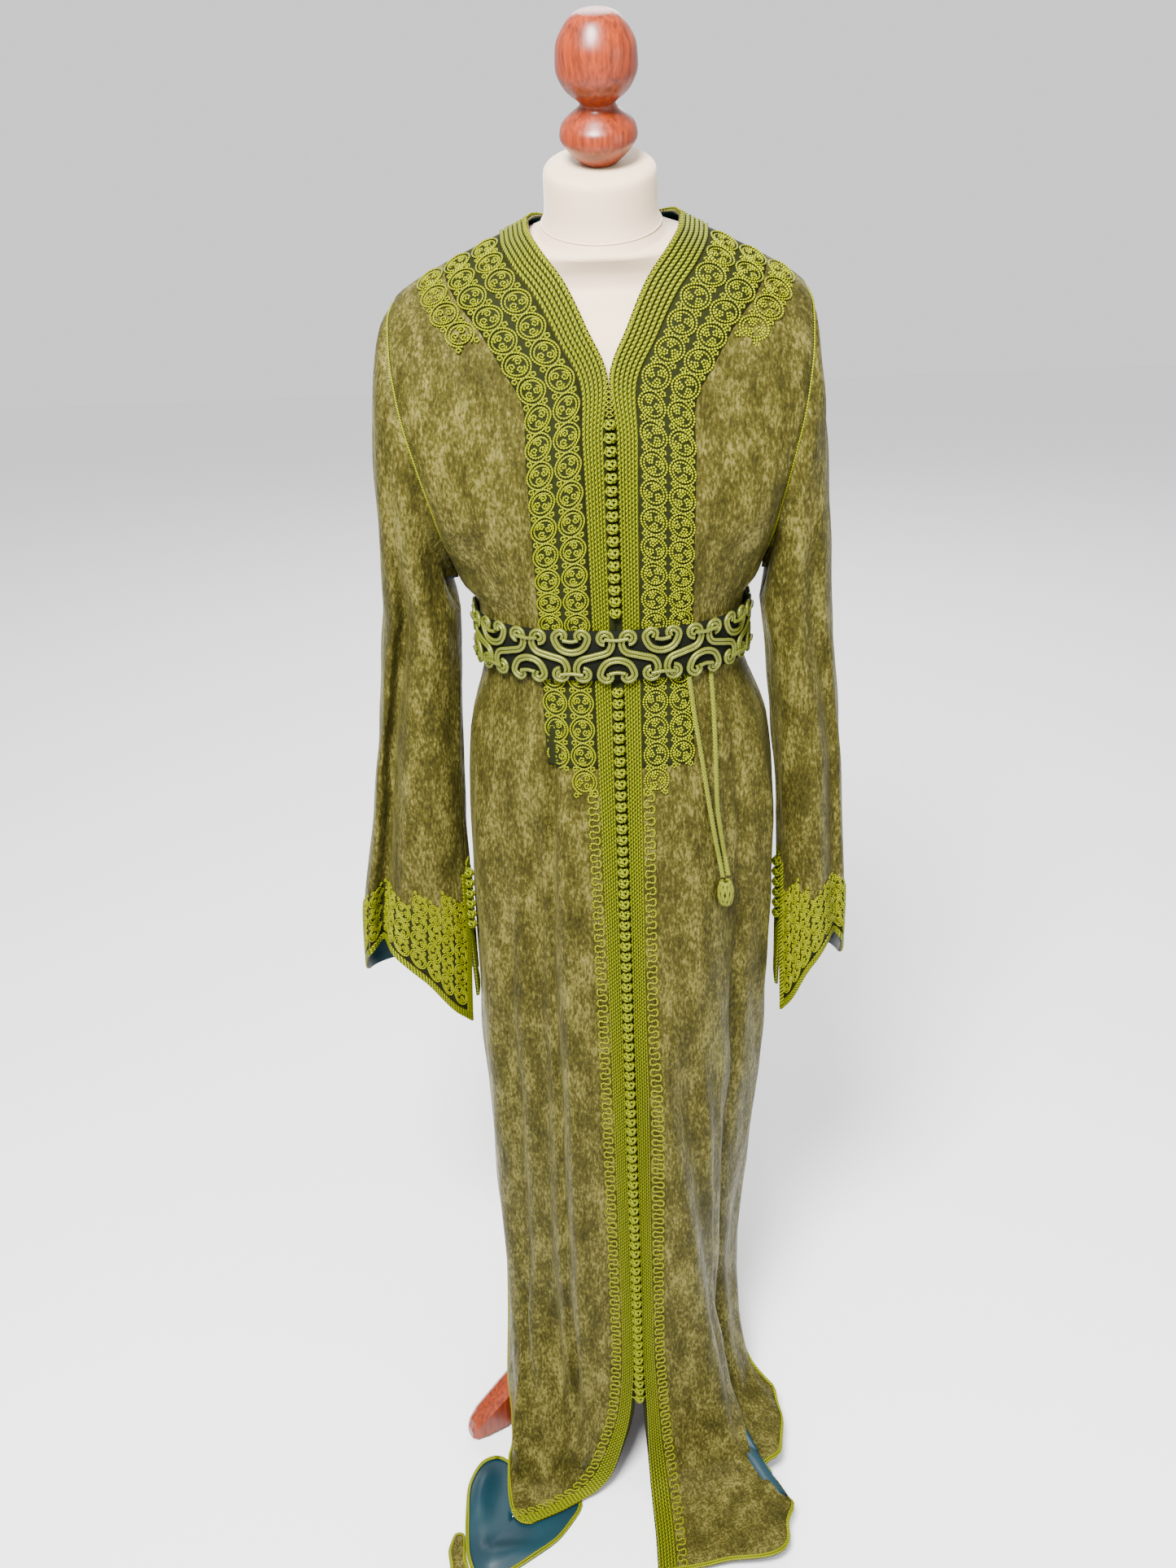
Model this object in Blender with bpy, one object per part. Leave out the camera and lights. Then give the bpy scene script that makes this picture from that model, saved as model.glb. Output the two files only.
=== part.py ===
"""Moroccan kaftan on a dress form stand, at real size.

Metres, +Z up. The front faces -Y and the viewer's right is +X. The stand's feet and
the cloth that lies on the floor rest at z = 0. The tables put the form's neck over
x = y = 0; at the end all of it is moved so that the origin is at the middle of its base.
Every cloth piece is an open surface of rows (down the cloth) and columns (across it)
with a second surface one cloth thickness inside it, and neighbours stay a seam gap apart.
"""
import math

import bpy
import numpy as np
from mathutils import Vector
from mathutils.bvhtree import BVHTree

# Driving sizes
CLOTH = 0.0020          # velvet with its lining
BRAID = 0.0018          # sfifa braid band
EMBROIDERY = 0.0014     # couched cord work on its ground
SEAM_GAP = 0.0003       # between pieces that are sewn edge to edge
LAY_GAP = 0.0005        # between a panel and what is sewn on it
SEAM_COLUMN = 0.004     # the narrow last column beside a seam, so that walls meet squarely
KNOT_PITCH = 0.0116     # from one aakad knot to the next
KNOT_WIDTH = 0.0092
CORD_NECK = 0.0044      # the row between two knots
KNOT_LIFT = KNOT_WIDTH / 2 * math.cos(math.pi / 6) + LAY_GAP   # a knot has six flat sides
KNOT_COUNT = 97
CUFF_KNOTS = 6
CUFF_KNOT_LIFT = 0.0050
BELT_THICK = 0.0045
BELT_RELIEF = 0.0030
BELT_REPEATS = 9
TIE_DIAMETER = 0.0050
POLE_RADIUS = 0.016
STAND_AXIS = (-0.024, -0.014)
LEG_ANGLES = (212.0, 332.0, 92.0)
NECK_LEAN = math.radians(19.0)

ARMPIT_LEVEL = 7.0      # the row of the panel tables where the side seam starts
ARMHOLE_GAP = 0.0005
SLEEVE_BOW = {-1: 0.013, 1: 0.006}      # how far each sleeve head stands out
UNDERARM_CLEAR = 0.0030 # how far the underarm stands off the side seam
UNDERARM = 0.50         # share of the armhole, from its tip down, that faces outwards
SLIT_START, SLIT_OPEN = 0.80, 0.05      # where down the sleeve the slit opens, and how wide
CUFF_FIRST_ROW = 12     # the sleeve rows that the embroidered cuff covers, and
CUFF_KNOT_ROW = 10.6    # the row where its knots start
WORK_END = 0.88         # height where the broad embroidery ends
V_BOTTOM = 1.2851
FIRST_KNOT = 1.2560     # height of the first knot's upper end
BELT_TOP, BELT_LOW = 1.0620, 1.0060
BELT_LEVEL = 8.5
BELT_CLEAR = 0.0030     # from the panels to the belt, over the braid
BELT_MARGIN = 0.0010
TIE_CLEAR = 0.0006
HUB_TOP, POLE_TOP = 0.1903, 0.7395
HUB_PROFILE = ((0.080, 0.012), (0.086, 0.022), (0.096, 0.032), (0.160, 0.034), (0.176, 0.028), (0.190, 0.022))
LEG = """
out     low     high    half
0.0341  0.0900  0.1540  0.0150
0.0700  0.0780  0.1330  0.0150
0.1100  0.0480  0.1060  0.0150
0.1500  0.0180  0.0790  0.0150
0.1800  0.0000  0.0580  0.0150
0.2080  0.0000  0.0380  0.0140
0.2200  0.0000  0.0260  0.0110
0.2250  0.0030  0.0160  0.0070
"""

NARROW_HEIGHTS = (0.93, 1.02, 1.30)     # the right side is slimmer than the left
NARROW_SHARES = (1.00, 0.94, 0.94)      # above the hip, by this share of its width
SEAM_SECTIONS = 5       # skirt sections with a closed side seam, above the slit
BACK_SLIT_SHIFT = {-1: 0.0, 1: -0.016}  # how far in each back edge hangs at the slit

FRONT, BACK = -1, 1     # the sign of y on each face of the garment
LEFT, RIGHT = -1, 1     # the sign of x, as the viewer sees it

# Half of a front or back panel: edge = neckline and centre line, side = armhole and
# side seam. Lengths in metres; square is the superellipse exponent of the plan curve,
# rows the number of mesh rows from this section to the next.
FRONT_TOP = """
edge_x  edge_y  edge_z  side_x  side_y  side_z  square rows
0.0700  0.0000  1.4200  0.2000  0.0000  1.3520  2.0    1
0.0680 -0.0220  1.4120  0.2030 -0.0240  1.3380  2.0    1
0.0560 -0.0560  1.3960  0.2020 -0.0430  1.3080  2.0    1
0.0370 -0.0740  1.3720  0.1980 -0.0560  1.2780  2.2    1
0.0180 -0.0860  1.3330  0.1920 -0.0640  1.2460  2.3    1
0.0003 -0.0960  1.2850  0.1820 -0.0660  1.2060  2.3    2
0.0003 -0.1090  1.2050  0.1680 -0.0560  1.1480  2.3    2
0.0003 -0.1110  1.1200  0.1560 -0.0000  1.0850  2.3    1
0.0003 -0.1090  1.0640  0.1390 -0.0000  1.0620  2.3    2
0.0003 -0.1090  1.0060  0.1380 -0.0000  1.0040  2.3    1
"""
BACK_TOP = """
edge_x  edge_y  edge_z  side_x  side_y  side_z  square rows
0.0700  0.0000  1.4200  0.2000  0.0000  1.3520  2.0    1
0.0640  0.0280  1.4220  0.2030  0.0240  1.3380  2.0    1
0.0430  0.0560  1.4180  0.2020  0.0430  1.3080  2.0    1
0.0003  0.0700  1.4080  0.1980  0.0560  1.2780  2.2    2
0.0003  0.0930  1.3300  0.1920  0.0640  1.2460  2.3    2
0.0003  0.1020  1.2450  0.1820  0.0660  1.2060  2.3    1
0.0003  0.1010  1.1750  0.1680  0.0560  1.1480  2.3    1
0.0003  0.0970  1.1200  0.1560  0.0000  1.0850  2.3    1
0.0003  0.0950  1.0640  0.1390  0.0000  1.0620  2.3    2
0.0003  0.0960  1.0060  0.1380  0.0000  1.0040  2.3    1
"""
FRONT_RIGHT_SKIRT = """
edge_x  edge_y  edge_z  side_x  side_y  side_z  square rows
0.0003 -0.1220  0.9300  0.1560 -0.0000  0.9300  2.3    2
0.0003 -0.1380  0.8200  0.1640 -0.0000  0.8300  2.3    3
0.0003 -0.1630  0.6000  0.1520 -0.0000  0.6000  2.2    3
0.0003 -0.1800  0.3800  0.1330 -0.0000  0.3800  2.1    2
0.0003 -0.1930  0.2300  0.1210 -0.0030  0.2300  2.1    2
0.0040 -0.2000  0.1200  0.1220 -0.0250  0.1500  2.2    2
0.0080 -0.2060  0.0450  0.1290 -0.0440  0.0940  2.4    1
0.0100 -0.2200  0.0140  0.1340 -0.0540  0.0720  2.5    1
0.0120 -0.2460  0.0040  0.1430 -0.0720  0.0590  2.8    1
0.0140 -0.2800  0.0023  0.1570 -0.0870  0.0480  3.0    1
0.0150 -0.3220  0.0022  0.1720 -0.0980  0.0370  3.5    0
"""
FRONT_LEFT_SKIRT = """
edge_x  edge_y  edge_z  side_x  side_y  side_z  square rows
0.0003 -0.1220  0.9300  0.1560 -0.0000  0.9300  2.3    2
0.0003 -0.1380  0.8200  0.1640 -0.0000  0.8200  2.3    3
0.0003 -0.1630  0.6000  0.1700 -0.0000  0.6000  2.2    3
0.0003 -0.1800  0.3800  0.1680 -0.0000  0.3800  2.1    2
0.0003 -0.1930  0.2300  0.1640 -0.0030  0.2300  2.1    2
0.0060 -0.2000  0.1300  0.1620 -0.0520  0.1500  2.2    2
0.0220 -0.2080  0.0660  0.1630 -0.1080  0.0900  2.3    1
0.0400 -0.2160  0.0240  0.1590 -0.1340  0.0460  2.4    1
0.0640 -0.2260  0.0076  0.1590 -0.1470  0.0180  2.6    1
0.0980 -0.2440  0.0050  0.1610 -0.1540  0.0080  2.8    1
0.1330 -0.2590  0.0045  0.1640 -0.1640  0.0050  3.0    0
"""
BACK_SKIRT = """
edge_x  edge_y  edge_z  side_x  side_y  side_z  square rows
0.0003  0.1220  0.9300  0.1560  0.0000  0.9300  2.3    2
0.0003  0.1480  0.8200  0.1645  0.0000  0.8250  2.3    3
0.0003  0.1800  0.6000  0.1640  0.0000  0.6000  2.2    3
0.0003  0.2060  0.3800  0.1580  0.0000  0.3800  2.1    2
0.0003  0.2240  0.2300  0.1510  0.0000  0.2300  2.1    2
0.0003  0.2380  0.1000  0.1460  0.0060  0.1500  2.2    2
0.0003  0.2520  0.0240  0.1430  0.0240  0.0900  2.2    1
0.0003  0.2720  0.0030  0.1400  0.0500  0.0300  2.2    1
0.0003  0.3100  0.0022  0.1440  0.0760  0.0060  2.2    1
0.0003  0.3500  0.0022  0.1500  0.1000  0.0022  2.2    0
"""

# What lies along the centre edge, by height down the cloth: width of the strip under
# the knots, of the braid and of the embroidery, in metres.
BANDS = """
edge_z  strip   braid   work
1.4200  0.0008  0.0250  0.0660
1.3720  0.0008  0.0260  0.0620
1.2850  0.0010  0.0230  0.0560
1.2400  0.0058  0.0190  0.0520
1.0600  0.0058  0.0165  0.0500
0.9300  0.0058  0.0155  0.0480
0.8700  0.0056  0.0150  0.0150
0.3800  0.0050  0.0130  0.0140
0.1300  0.0040  0.0140  0.0140
0.0300  0.0008  0.0190  0.0150
0.0000  0.0008  0.0210  0.0150
"""

# Folds of the skirt: a ridge (or, with a negative rise, a furrow) that runs down the
# cloth. across is the place from centre edge (0) to side seam (1), reach its half width,
# lean its shift towards the side, ends the height where it dies out on the floor.
FOLDS = """
side face top_z top_across low_z low_across reach rise_top rise_low lean   ends
1   -1    0.66  0.08       0.02  0.38       0.14  0.004    0.030    0.012  0.004
1   -1    0.62  0.22       0.02  0.56       0.10 -0.004   -0.020    0.000  0.004
1   -1    0.96  0.46       0.30  0.62       0.09 -0.010   -0.006    0.000  0.030
1   -1    0.96  0.68       0.20  0.84       0.11  0.010    0.008    0.004  0.030
-1  -1    0.92  0.22       0.16  0.26       0.10  0.010    0.014   -0.004  0.040
-1  -1    0.92  0.38       0.16  0.42       0.10 -0.013   -0.016    0.000  0.040
-1  -1    0.92  0.64       0.16  0.66       0.14  0.009    0.010    0.000  0.040
1    1    0.96  0.20       0.03  0.22       0.12  0.010    0.018    0.000  0.004
1    1    0.96  0.42       0.05  0.44       0.11 -0.010   -0.018    0.000  0.004
1    1    0.96  0.66       0.05  0.66       0.12  0.008    0.016    0.000  0.004
-1   1    0.96  0.18       0.03  0.20       0.12  0.009    0.018    0.000  0.004
-1   1    0.96  0.42       0.05  0.44       0.11 -0.010   -0.018    0.000  0.004
-1   1    0.96  0.66       0.05  0.66       0.12  0.008    0.016    0.000  0.004
"""
FOLD_FADE = 0.012       # height over which a fold dies out

# Sleeves below the armhole: outer and inner edge, depth before and behind the centre,
# centre in y, all in metres at height z.
SLEEVE_LEFT = """
z       outer   inner   centre  front   behind
1.0500  0.2400  0.1600 -0.0020  0.0560  0.0540
0.9200  0.2560  0.1660 -0.0100  0.0540  0.0500
0.8000  0.2760  0.1690 -0.0180  0.0520  0.0480
0.7000  0.2930  0.1700 -0.0240  0.0500  0.0460
0.6200  0.2960  0.1700 -0.0280  0.0480  0.0440
"""
SLEEVE_RIGHT = """
z       outer   inner   centre  front   behind
1.0500  0.2210  0.1480 -0.0020  0.0560  0.0560
0.9200  0.2330  0.1620 -0.0080  0.0560  0.0560
0.8000  0.2400  0.1680 -0.0140  0.0560  0.0560
0.7000  0.2450  0.1700 -0.0180  0.0540  0.0540
0.6200  0.2440  0.1700 -0.0200  0.0520  0.0520
"""
# Height of the sleeve's hem round the cuff: turn is 0 at the slit, on the inner front
# line, and grows round the front, the outer side and the back.
CUFF_HEM = """
turn    z
0.00    0.5760
0.06    0.5960
0.16    0.6480
0.27    0.6780
0.36    0.6650
0.46    0.6320
0.62    0.6280
0.80    0.6300
0.94    0.6140
1.00    0.6000
"""
SLEEVE_FURROW = 0.30    # where round the sleeve the long hollow lies
FURROW_DEPTH = 0.016
SLIT_TURN = 0.055       # the slit's place before the inner line, as a part of a turn

# The dress form below the neck, by height; lean tips a ring down in front, in degrees,
# and by a smaller share up behind.
LEAN_BEHIND = 0.35
TORSO = """
z       half    front   behind  square lean
0.7400  0.1180 -0.0860  0.0800  2.2    0
0.7460  0.1260 -0.0920  0.0860  2.2    0
0.8200  0.1360 -0.1000  0.0960  2.2    0
0.9200  0.1340 -0.0990  0.0960  2.2    0
0.9800  0.1290 -0.0960  0.0890  2.2    0
1.0400  0.1290 -0.0970  0.0870  2.2    0
1.1000  0.1360 -0.1000  0.0890  2.2    0
1.1800  0.1500 -0.1010  0.0930  2.3    0
1.2400  0.1640 -0.0960  0.0930  2.4    0
1.2900  0.1760 -0.0820  0.0880  2.4    0
1.3200  0.1820 -0.0700  0.0800  2.3    0
1.3400  0.1860 -0.0560  0.0660  2.2    2
1.3560  0.1830 -0.0500  0.0600  2.1    4
1.3680  0.1660 -0.0460  0.0540  2.0    7
1.3800  0.1430 -0.0480  0.0520  2.0    10
1.3935  0.1150 -0.0530  0.0520  2.0    15
1.4076  0.0890 -0.0600  0.0530  2.0    19
"""
NECK = """
along   radius
-0.0020 0.0590
0.0010  0.0590
0.0060  0.0545
0.0220  0.0515
0.0500  0.0510
0.0560  0.0490
0.0590  0.0450
"""
NECK_FOOT = (-0.002, -0.004, 1.4100)
FINIAL = """
along   radius
0.0594  0.0160
0.0700  0.0270
0.0820  0.0345
0.0900  0.0330
0.0990  0.0250
0.1060  0.0165
0.1090  0.0155
0.1120  0.0180
0.1220  0.0290
0.1380  0.0355
0.1540  0.0345
0.1680  0.0280
0.1780  0.0190
0.1800  0.0150
"""

# The turned-back corner on the floor at the left, lining side up (x, y).
LINING_OUTLINE = ((-0.176, -0.160), (-0.150, -0.186), (-0.120, -0.206), (-0.082, -0.214), (-0.068, -0.232),
                  (-0.098, -0.279), (-0.149, -0.316), (-0.190, -0.336), (-0.206, -0.300), (-0.211, -0.262),
                  (-0.213, -0.204), (-0.199, -0.168))
TURNBACK_EDGE = ((-0.212, -0.268), (-0.208, -0.296), (-0.196, -0.334), (-0.206, -0.340), (-0.222, -0.318),
                 (-0.228, -0.290), (-0.222, -0.268))

# Tie cords from the belt to their knot: x and height, as they hang on the skirt.
TIE_ROUTE_A = ((0.070, 1.0050), (0.074, 0.972), (0.081, 0.925), (0.088, 0.876), (0.0950, 0.832), (0.1017, 0.7942))
TIE_ROUTE_B = ((0.092, 1.0050), (0.094, 0.972), (0.0955, 0.925), (0.0965, 0.876), (0.1015, 0.832), (0.1073, 0.7952))
TIE_KNOT_CENTRE = (0.1045, 0.776)
TIE_KNOT_HALF = (0.0085, 0.0160)


def read_table(text):
    """Turn a small text table into a dictionary of columns."""
    lines = text.strip().splitlines()
    names = lines[0].split()
    values = np.array([[float(word) for word in line.split()] for line in lines[1:]])
    return {name: values[:, number] for number, name in enumerate(names)}


def smooth(place, values, wanted):
    """Interpolate a column without overshoot (a monotone cubic); place must rise."""
    place, values = np.asarray(place, float), np.asarray(values, float)
    step = np.diff(place)
    slope = np.diff(values) / step
    tangent = np.zeros(len(place))
    tangent[0], tangent[-1] = slope[0], slope[-1]
    same = slope[:-1] * slope[1:] > 0
    first, second = 2 * step[1:] + step[:-1], step[1:] + 2 * step[:-1]
    inner = np.zeros(len(slope) - 1)
    inner[same] = (first + second)[same] / (first[same] / slope[:-1][same] + second[same] / slope[1:][same])
    tangent[1:-1] = inner
    wanted = np.clip(wanted, place[0], place[-1])
    cell = np.clip(np.searchsorted(place, wanted, side="right") - 1, 0, len(step) - 1)
    t = (wanted - place[cell]) / step[cell]
    return ((1 + 2 * t) * (1 - t) ** 2 * values[cell] + t * (1 - t) ** 2 * step[cell] * tangent[cell]
            + t * t * (3 - 2 * t) * values[cell + 1] + t * t * (t - 1) * step[cell] * tangent[cell + 1])


def by_height(table, name, height):
    """Read a column of a table whose first column is a falling height."""
    key = "edge_z" if "edge_z" in table else "z"
    order = np.argsort(table[key])
    return smooth(table[key][order], table[name][order], height)


def join_tables(first, second):
    return {name: np.concatenate([first[name], second[name]]) for name in first}


def back_table(side, front):
    """The back panel's table, with its side seam on the front panel's."""
    top = read_table(BACK_TOP)
    table = join_tables(top, read_table(BACK_SKIRT))
    seam = slice(len(top["square"]), len(top["square"]) + SEAM_SECTIONS)
    table["side_x"][seam] = front["side_x"][seam]
    table["side_z"][seam] = front["side_z"][seam]
    table["side_x"][seam.stop:] += BACK_SLIT_SHIFT[side]
    return table


def narrowing(side, height):
    """The share of its width that a side keeps at a height: the right is the slimmer one."""
    if side == LEFT:
        return np.ones_like(height)
    return smooth(NARROW_HEIGHTS, NARROW_SHARES, height)


PANELS = {}
for panel_side, skirt in ((RIGHT, FRONT_RIGHT_SKIRT), (LEFT, FRONT_LEFT_SKIRT)):
    PANELS[panel_side, FRONT] = join_tables(read_table(FRONT_TOP), read_table(skirt))
    PANELS[panel_side, BACK] = back_table(panel_side, PANELS[panel_side, FRONT])
BAND_TABLE = read_table(BANDS)
CUFF = read_table(CUFF_HEM)
SLEEVES = (read_table(SLEEVE_LEFT), read_table(SLEEVE_RIGHT))
FOLD_TABLE = read_table(FOLDS)


def fold_push(side, face, across, height):
    """How far the folds lift the skirt out of its plain curve, and lean it sideways."""
    rise, lean = np.zeros_like(across), np.zeros_like(across)
    for row in range(len(FOLD_TABLE["side"])):
        fold = {name: column[row] for name, column in FOLD_TABLE.items()}
        if (fold["side"], fold["face"]) != (side, face):
            continue
        down = np.clip((fold["top_z"] - height) / (fold["top_z"] - fold["low_z"]), 0, 1)
        middle = fold["top_across"] + (fold["low_across"] - fold["top_across"]) * down
        bell = np.exp(-((across - middle) / (0.6 * fold["reach"])) ** 2)
        bell = bell * np.minimum(down / 0.15, 1) * np.clip((height - fold["ends"]) / FOLD_FADE, 0, 1)
        rise += bell * (fold["rise_top"] + (fold["rise_low"] - fold["rise_top"]) * down)
        lean += bell * fold["lean"] * down
    return rise, lean


def panel_curve(side, face, level, count=160):
    """One row of a panel at a level of its table: points from centre edge to side."""
    table = PANELS[side, face]
    levels = np.arange(len(table["edge_x"]))
    value = {name: float(smooth(levels, column, level)) for name, column in table.items()}
    turn = np.linspace(0, math.pi / 2, count)
    power = 2 / value["square"]
    across = np.sin(turn) ** power
    depth = np.cos(turn) ** power
    share = np.linspace(0, 1, count)
    side_x = value["side_x"] * float(narrowing(side, value["side_z"]))
    x = value["edge_x"] + (side_x - value["edge_x"]) * across
    y = value["side_y"] + (value["edge_y"] - value["side_y"]) * depth
    z = value["edge_z"] + (value["side_z"] - value["edge_z"]) * (0.5 * across + 0.5 * share)
    length = np.concatenate([[0], np.cumsum(np.hypot(np.diff(x), np.diff(y)))])
    part = length / length[-1]
    rise, lean = fold_push(side, face, part, z)
    along = np.stack([np.gradient(x, part), np.gradient(y, part)])
    along /= np.maximum(np.hypot(*along), 1e-9)
    out = np.stack([along[1], -along[0]]) * -face
    x = x + out[0] * rise + along[0] * lean
    y = y + out[1] * rise + along[1] * lean
    y = y + face * SEAM_GAP * np.clip(1.5 - np.abs(y) / 0.02, 0, 1)
    return np.stack([x * side, y, z], axis=1), length, value["edge_z"]


def point_at(curve, length, wanted):
    return np.stack([np.interp(wanted, length, curve[:, axis]) for axis in range(3)], axis=1)


def panel_levels(side, face, finer=1):
    rows = PANELS[side, face]["rows"]
    levels = []
    for number, count in enumerate(rows[:-1]):
        count = int(count) * finer
        levels += [number + step / count for step in range(count)]
    return levels + [len(rows) - 1]


def panel_rows(side, face, rest_columns=7, finer=1):
    """The panel's grid: columns at the edges of its bands, then evenly to the side."""
    rows = []
    for level in panel_levels(side, face, finer):
        curve, length, height = panel_curve(side, face, level)
        marks = [0.0]
        if face == FRONT:
            marks += list(np.cumsum([float(by_height(BAND_TABLE, name, height))
                                     for name in ("strip", "braid", "work")]))
        else:
            marks.append(SEAM_COLUMN)
        rest = np.linspace(marks[-1], length[-1] - SEAM_COLUMN, rest_columns + 1)[1:]
        rest = np.append(rest, length[-1])
        rows.append(point_at(curve, length, np.concatenate([marks, rest])))
    return np.array(rows)


def outward(grid):
    """Unit normals of a grid of points, for rows down and columns across."""
    return unit(np.cross(np.gradient(grid, axis=0), np.gradient(grid, axis=1)))


def unit(vectors):
    return vectors / np.maximum(np.linalg.norm(vectors, axis=-1, keepdims=True), 1e-9)


def panel_normals(grid, side, face):
    """Normals of a panel, squared up along its seams so that two walls meet flat."""
    normal = outward(grid) * (side * -face)
    on_centre = np.abs(grid[:, 0, 0]) < 0.001
    normal[on_centre, 0, 0] = 0
    on_side_seam = np.abs(grid[:, -1, 1]) < 0.002
    normal[on_side_seam, -1, 1] = 0
    normal[0, :, 1] = 0
    return unit(normal)


MATERIALS = {}
PARTS = bpy.data.collections.new("moroccan_kaftan_on_form")


def clear_scene():
    for item in list(bpy.data.objects):
        bpy.data.objects.remove(item, do_unlink=True)
    bpy.context.scene.collection.children.link(PARTS)


def material(name, colour, roughness, metallic=0.0):
    made = bpy.data.materials.new(name)
    made.use_nodes = True
    shader = made.node_tree.nodes["Principled BSDF"]
    shader.inputs["Base Color"].default_value = (*colour, 1.0)
    shader.inputs["Roughness"].default_value = roughness
    shader.inputs["Metallic"].default_value = metallic
    MATERIALS[name] = made


def make_materials():
    material("crushed_velvet", (0.19, 0.18, 0.05), 0.70)
    material("braid_lime", (0.22, 0.30, 0.02), 0.55)
    material("embroidery_green", (0.16, 0.22, 0.02), 0.60)
    material("satin_cord", (0.28, 0.33, 0.06), 0.40)
    material("lining_teal", (0.01, 0.08, 0.10), 0.55)
    material("form_jersey", (0.86, 0.72, 0.58), 0.85)
    material("mahogany", (0.28, 0.05, 0.015), 0.35)


def add_object(name, mesh, material_name, smooth_angle=40):
    made = bpy.data.objects.new(name, mesh)
    PARTS.objects.link(made)
    mesh.materials.append(MATERIALS[material_name])
    mesh.shade_smooth()
    mesh.set_sharp_from_angle(angle=math.radians(smooth_angle))
    return made


def grid_faces(rows, columns, start=0, closed=False):
    """Triangles over a grid, cut on the same diagonal everywhere, so that a layer made
    from a panel's points lies parallel to the panel's own facets."""
    faces = []
    for row in range(rows - 1):
        for column in range(columns if closed else columns - 1):
            after = (column + 1) % columns
            low = start + row * columns
            faces.append((low + column, low + columns + column, low + columns + after))
            faces.append((low + column, low + columns + after, low + after))
    return faces


def face_outwards(mesh):
    """Point a closed mesh's faces out, whichever way its rows and columns run."""
    volume = 0.0
    for polygon in mesh.polygons:
        first, *others = [mesh.vertices[index].co for index in polygon.vertices]
        for second, third in zip(others, others[1:]):
            volume += first.dot(second.cross(third))
    if volume < 0:
        mesh.flip_normals()


def wall(name, outer, inner, material_name, closed=False):
    """A cloth wall between two grids of points. It is a loft between unlike sections,
    so its faces are made here: both faces of the cloth and the strips along its edges."""
    rows, columns = outer.shape[:2]
    total = rows * columns
    points = np.concatenate([outer.reshape(-1, 3), inner.reshape(-1, 3)])
    points[:, 2] = np.maximum(points[:, 2], 0.0)
    faces = grid_faces(rows, columns, 0, closed)
    faces += [tuple(reversed(face)) for face in grid_faces(rows, columns, total, closed)]
    for column in range(columns if closed else columns - 1):
        after = (column + 1) % columns
        last = (rows - 1) * columns
        faces.append((column, after, total + after, total + column))
        faces.append((last + after, last + column, total + last + column, total + last + after))
    if not closed:
        for row in range(rows - 1):
            here, below = row * columns, (row + 1) * columns
            end = columns - 1
            faces.append((below, here, total + here, total + below))
            faces.append((here + end, below + end, total + below + end, total + here + end))
    mesh = bpy.data.meshes.new(name)
    mesh.from_pydata([tuple(point) for point in points], [], faces)
    face_outwards(mesh)
    return add_object(name, mesh, material_name)


def loft(name, grid, material_name):
    """A closed body through rings of points, flat at both ends."""
    rows, columns = grid.shape[:2]
    faces = grid_faces(rows, columns, closed=True)
    faces.append(tuple(range(columns)))
    faces.append(tuple(reversed(range((rows - 1) * columns, rows * columns))))
    mesh = bpy.data.meshes.new(name)
    mesh.from_pydata([tuple(point) for point in grid.reshape(-1, 3)], [], faces)
    face_outwards(mesh)
    return add_object(name, mesh, material_name)


def ring(centre, half_x, half_y_front, half_y_back, square, count):
    """A superellipse ring with its own depth before and behind the centre."""
    turn = np.linspace(0, 2 * math.pi, count, endpoint=False)
    cosine, sine = np.cos(turn), np.sin(turn)
    x = half_x * np.sign(cosine) * np.abs(cosine) ** (2 / square)
    depth = np.where(sine < 0, half_y_front, half_y_back)
    y = depth * np.sign(sine) * np.abs(sine) ** (2 / square)
    return np.stack([x + centre[0], y + centre[1], np.full(count, centre[2])], axis=1)


def make_panels():
    names = {(RIGHT, FRONT): "front_right", (LEFT, FRONT): "front_left",
             (RIGHT, BACK): "back_right", (LEFT, BACK): "back_left"}
    for (side, face), name in names.items():
        grid = panel_rows(side, face)
        inner = grid - panel_normals(grid, side, face) * CLOTH
        wall(name, grid, inner, "crushed_velvet")


def make_bands():
    """The braid down each front edge and the embroidery beside it, on the panels."""
    for side, word in ((RIGHT, "right"), (LEFT, "left")):
        grid = panel_rows(side, FRONT)
        normal = panel_normals(grid, side, FRONT)
        ground = grid + normal * LAY_GAP
        braid = grid + normal * (LAY_GAP + BRAID)
        wall("sfifa_" + word, braid[:, 1:3], ground[:, 1:3], "braid_lime")
        worked = grid[:, 0, 2] > WORK_END
        parting = unit(grid[:, 3] - grid[:, 2]) * SEAM_GAP
        top = grid + normal * (LAY_GAP + EMBROIDERY)
        for layer in (top, ground):
            layer[:, 2] += parting
        wall("embroidery_" + word, top[worked, 2:4], ground[worked, 2:4], "embroidery_green")


def armhole(side):
    """The armhole's points and wall normals: up the front edge, down the back edge."""
    points, normals = [], []
    for face in (FRONT, BACK):
        grid = panel_rows(side, face)
        normal = panel_normals(grid, side, face)
        levels = np.array(panel_levels(side, face))
        rows = np.nonzero(levels <= ARMPIT_LEVEL)[0]
        away = unit(grid[rows, -1] - grid[rows, -2]) * ARMHOLE_GAP
        edge, lift = grid[rows, -1] + away, normal[rows, -1]
        if face == FRONT:
            edge, lift = edge[::-1], lift[::-1]
        points.append(edge)
        normals.append(lift)
    tip = (points[0][-1] + points[1][0]) / 2
    edge = np.concatenate([points[0][:-1], [tip], points[1][1:]])
    lift = np.concatenate([normals[0][:-1], [unit(normals[0][-1] + normals[1][0])], normals[1][1:]])
    return edge, lift


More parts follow.
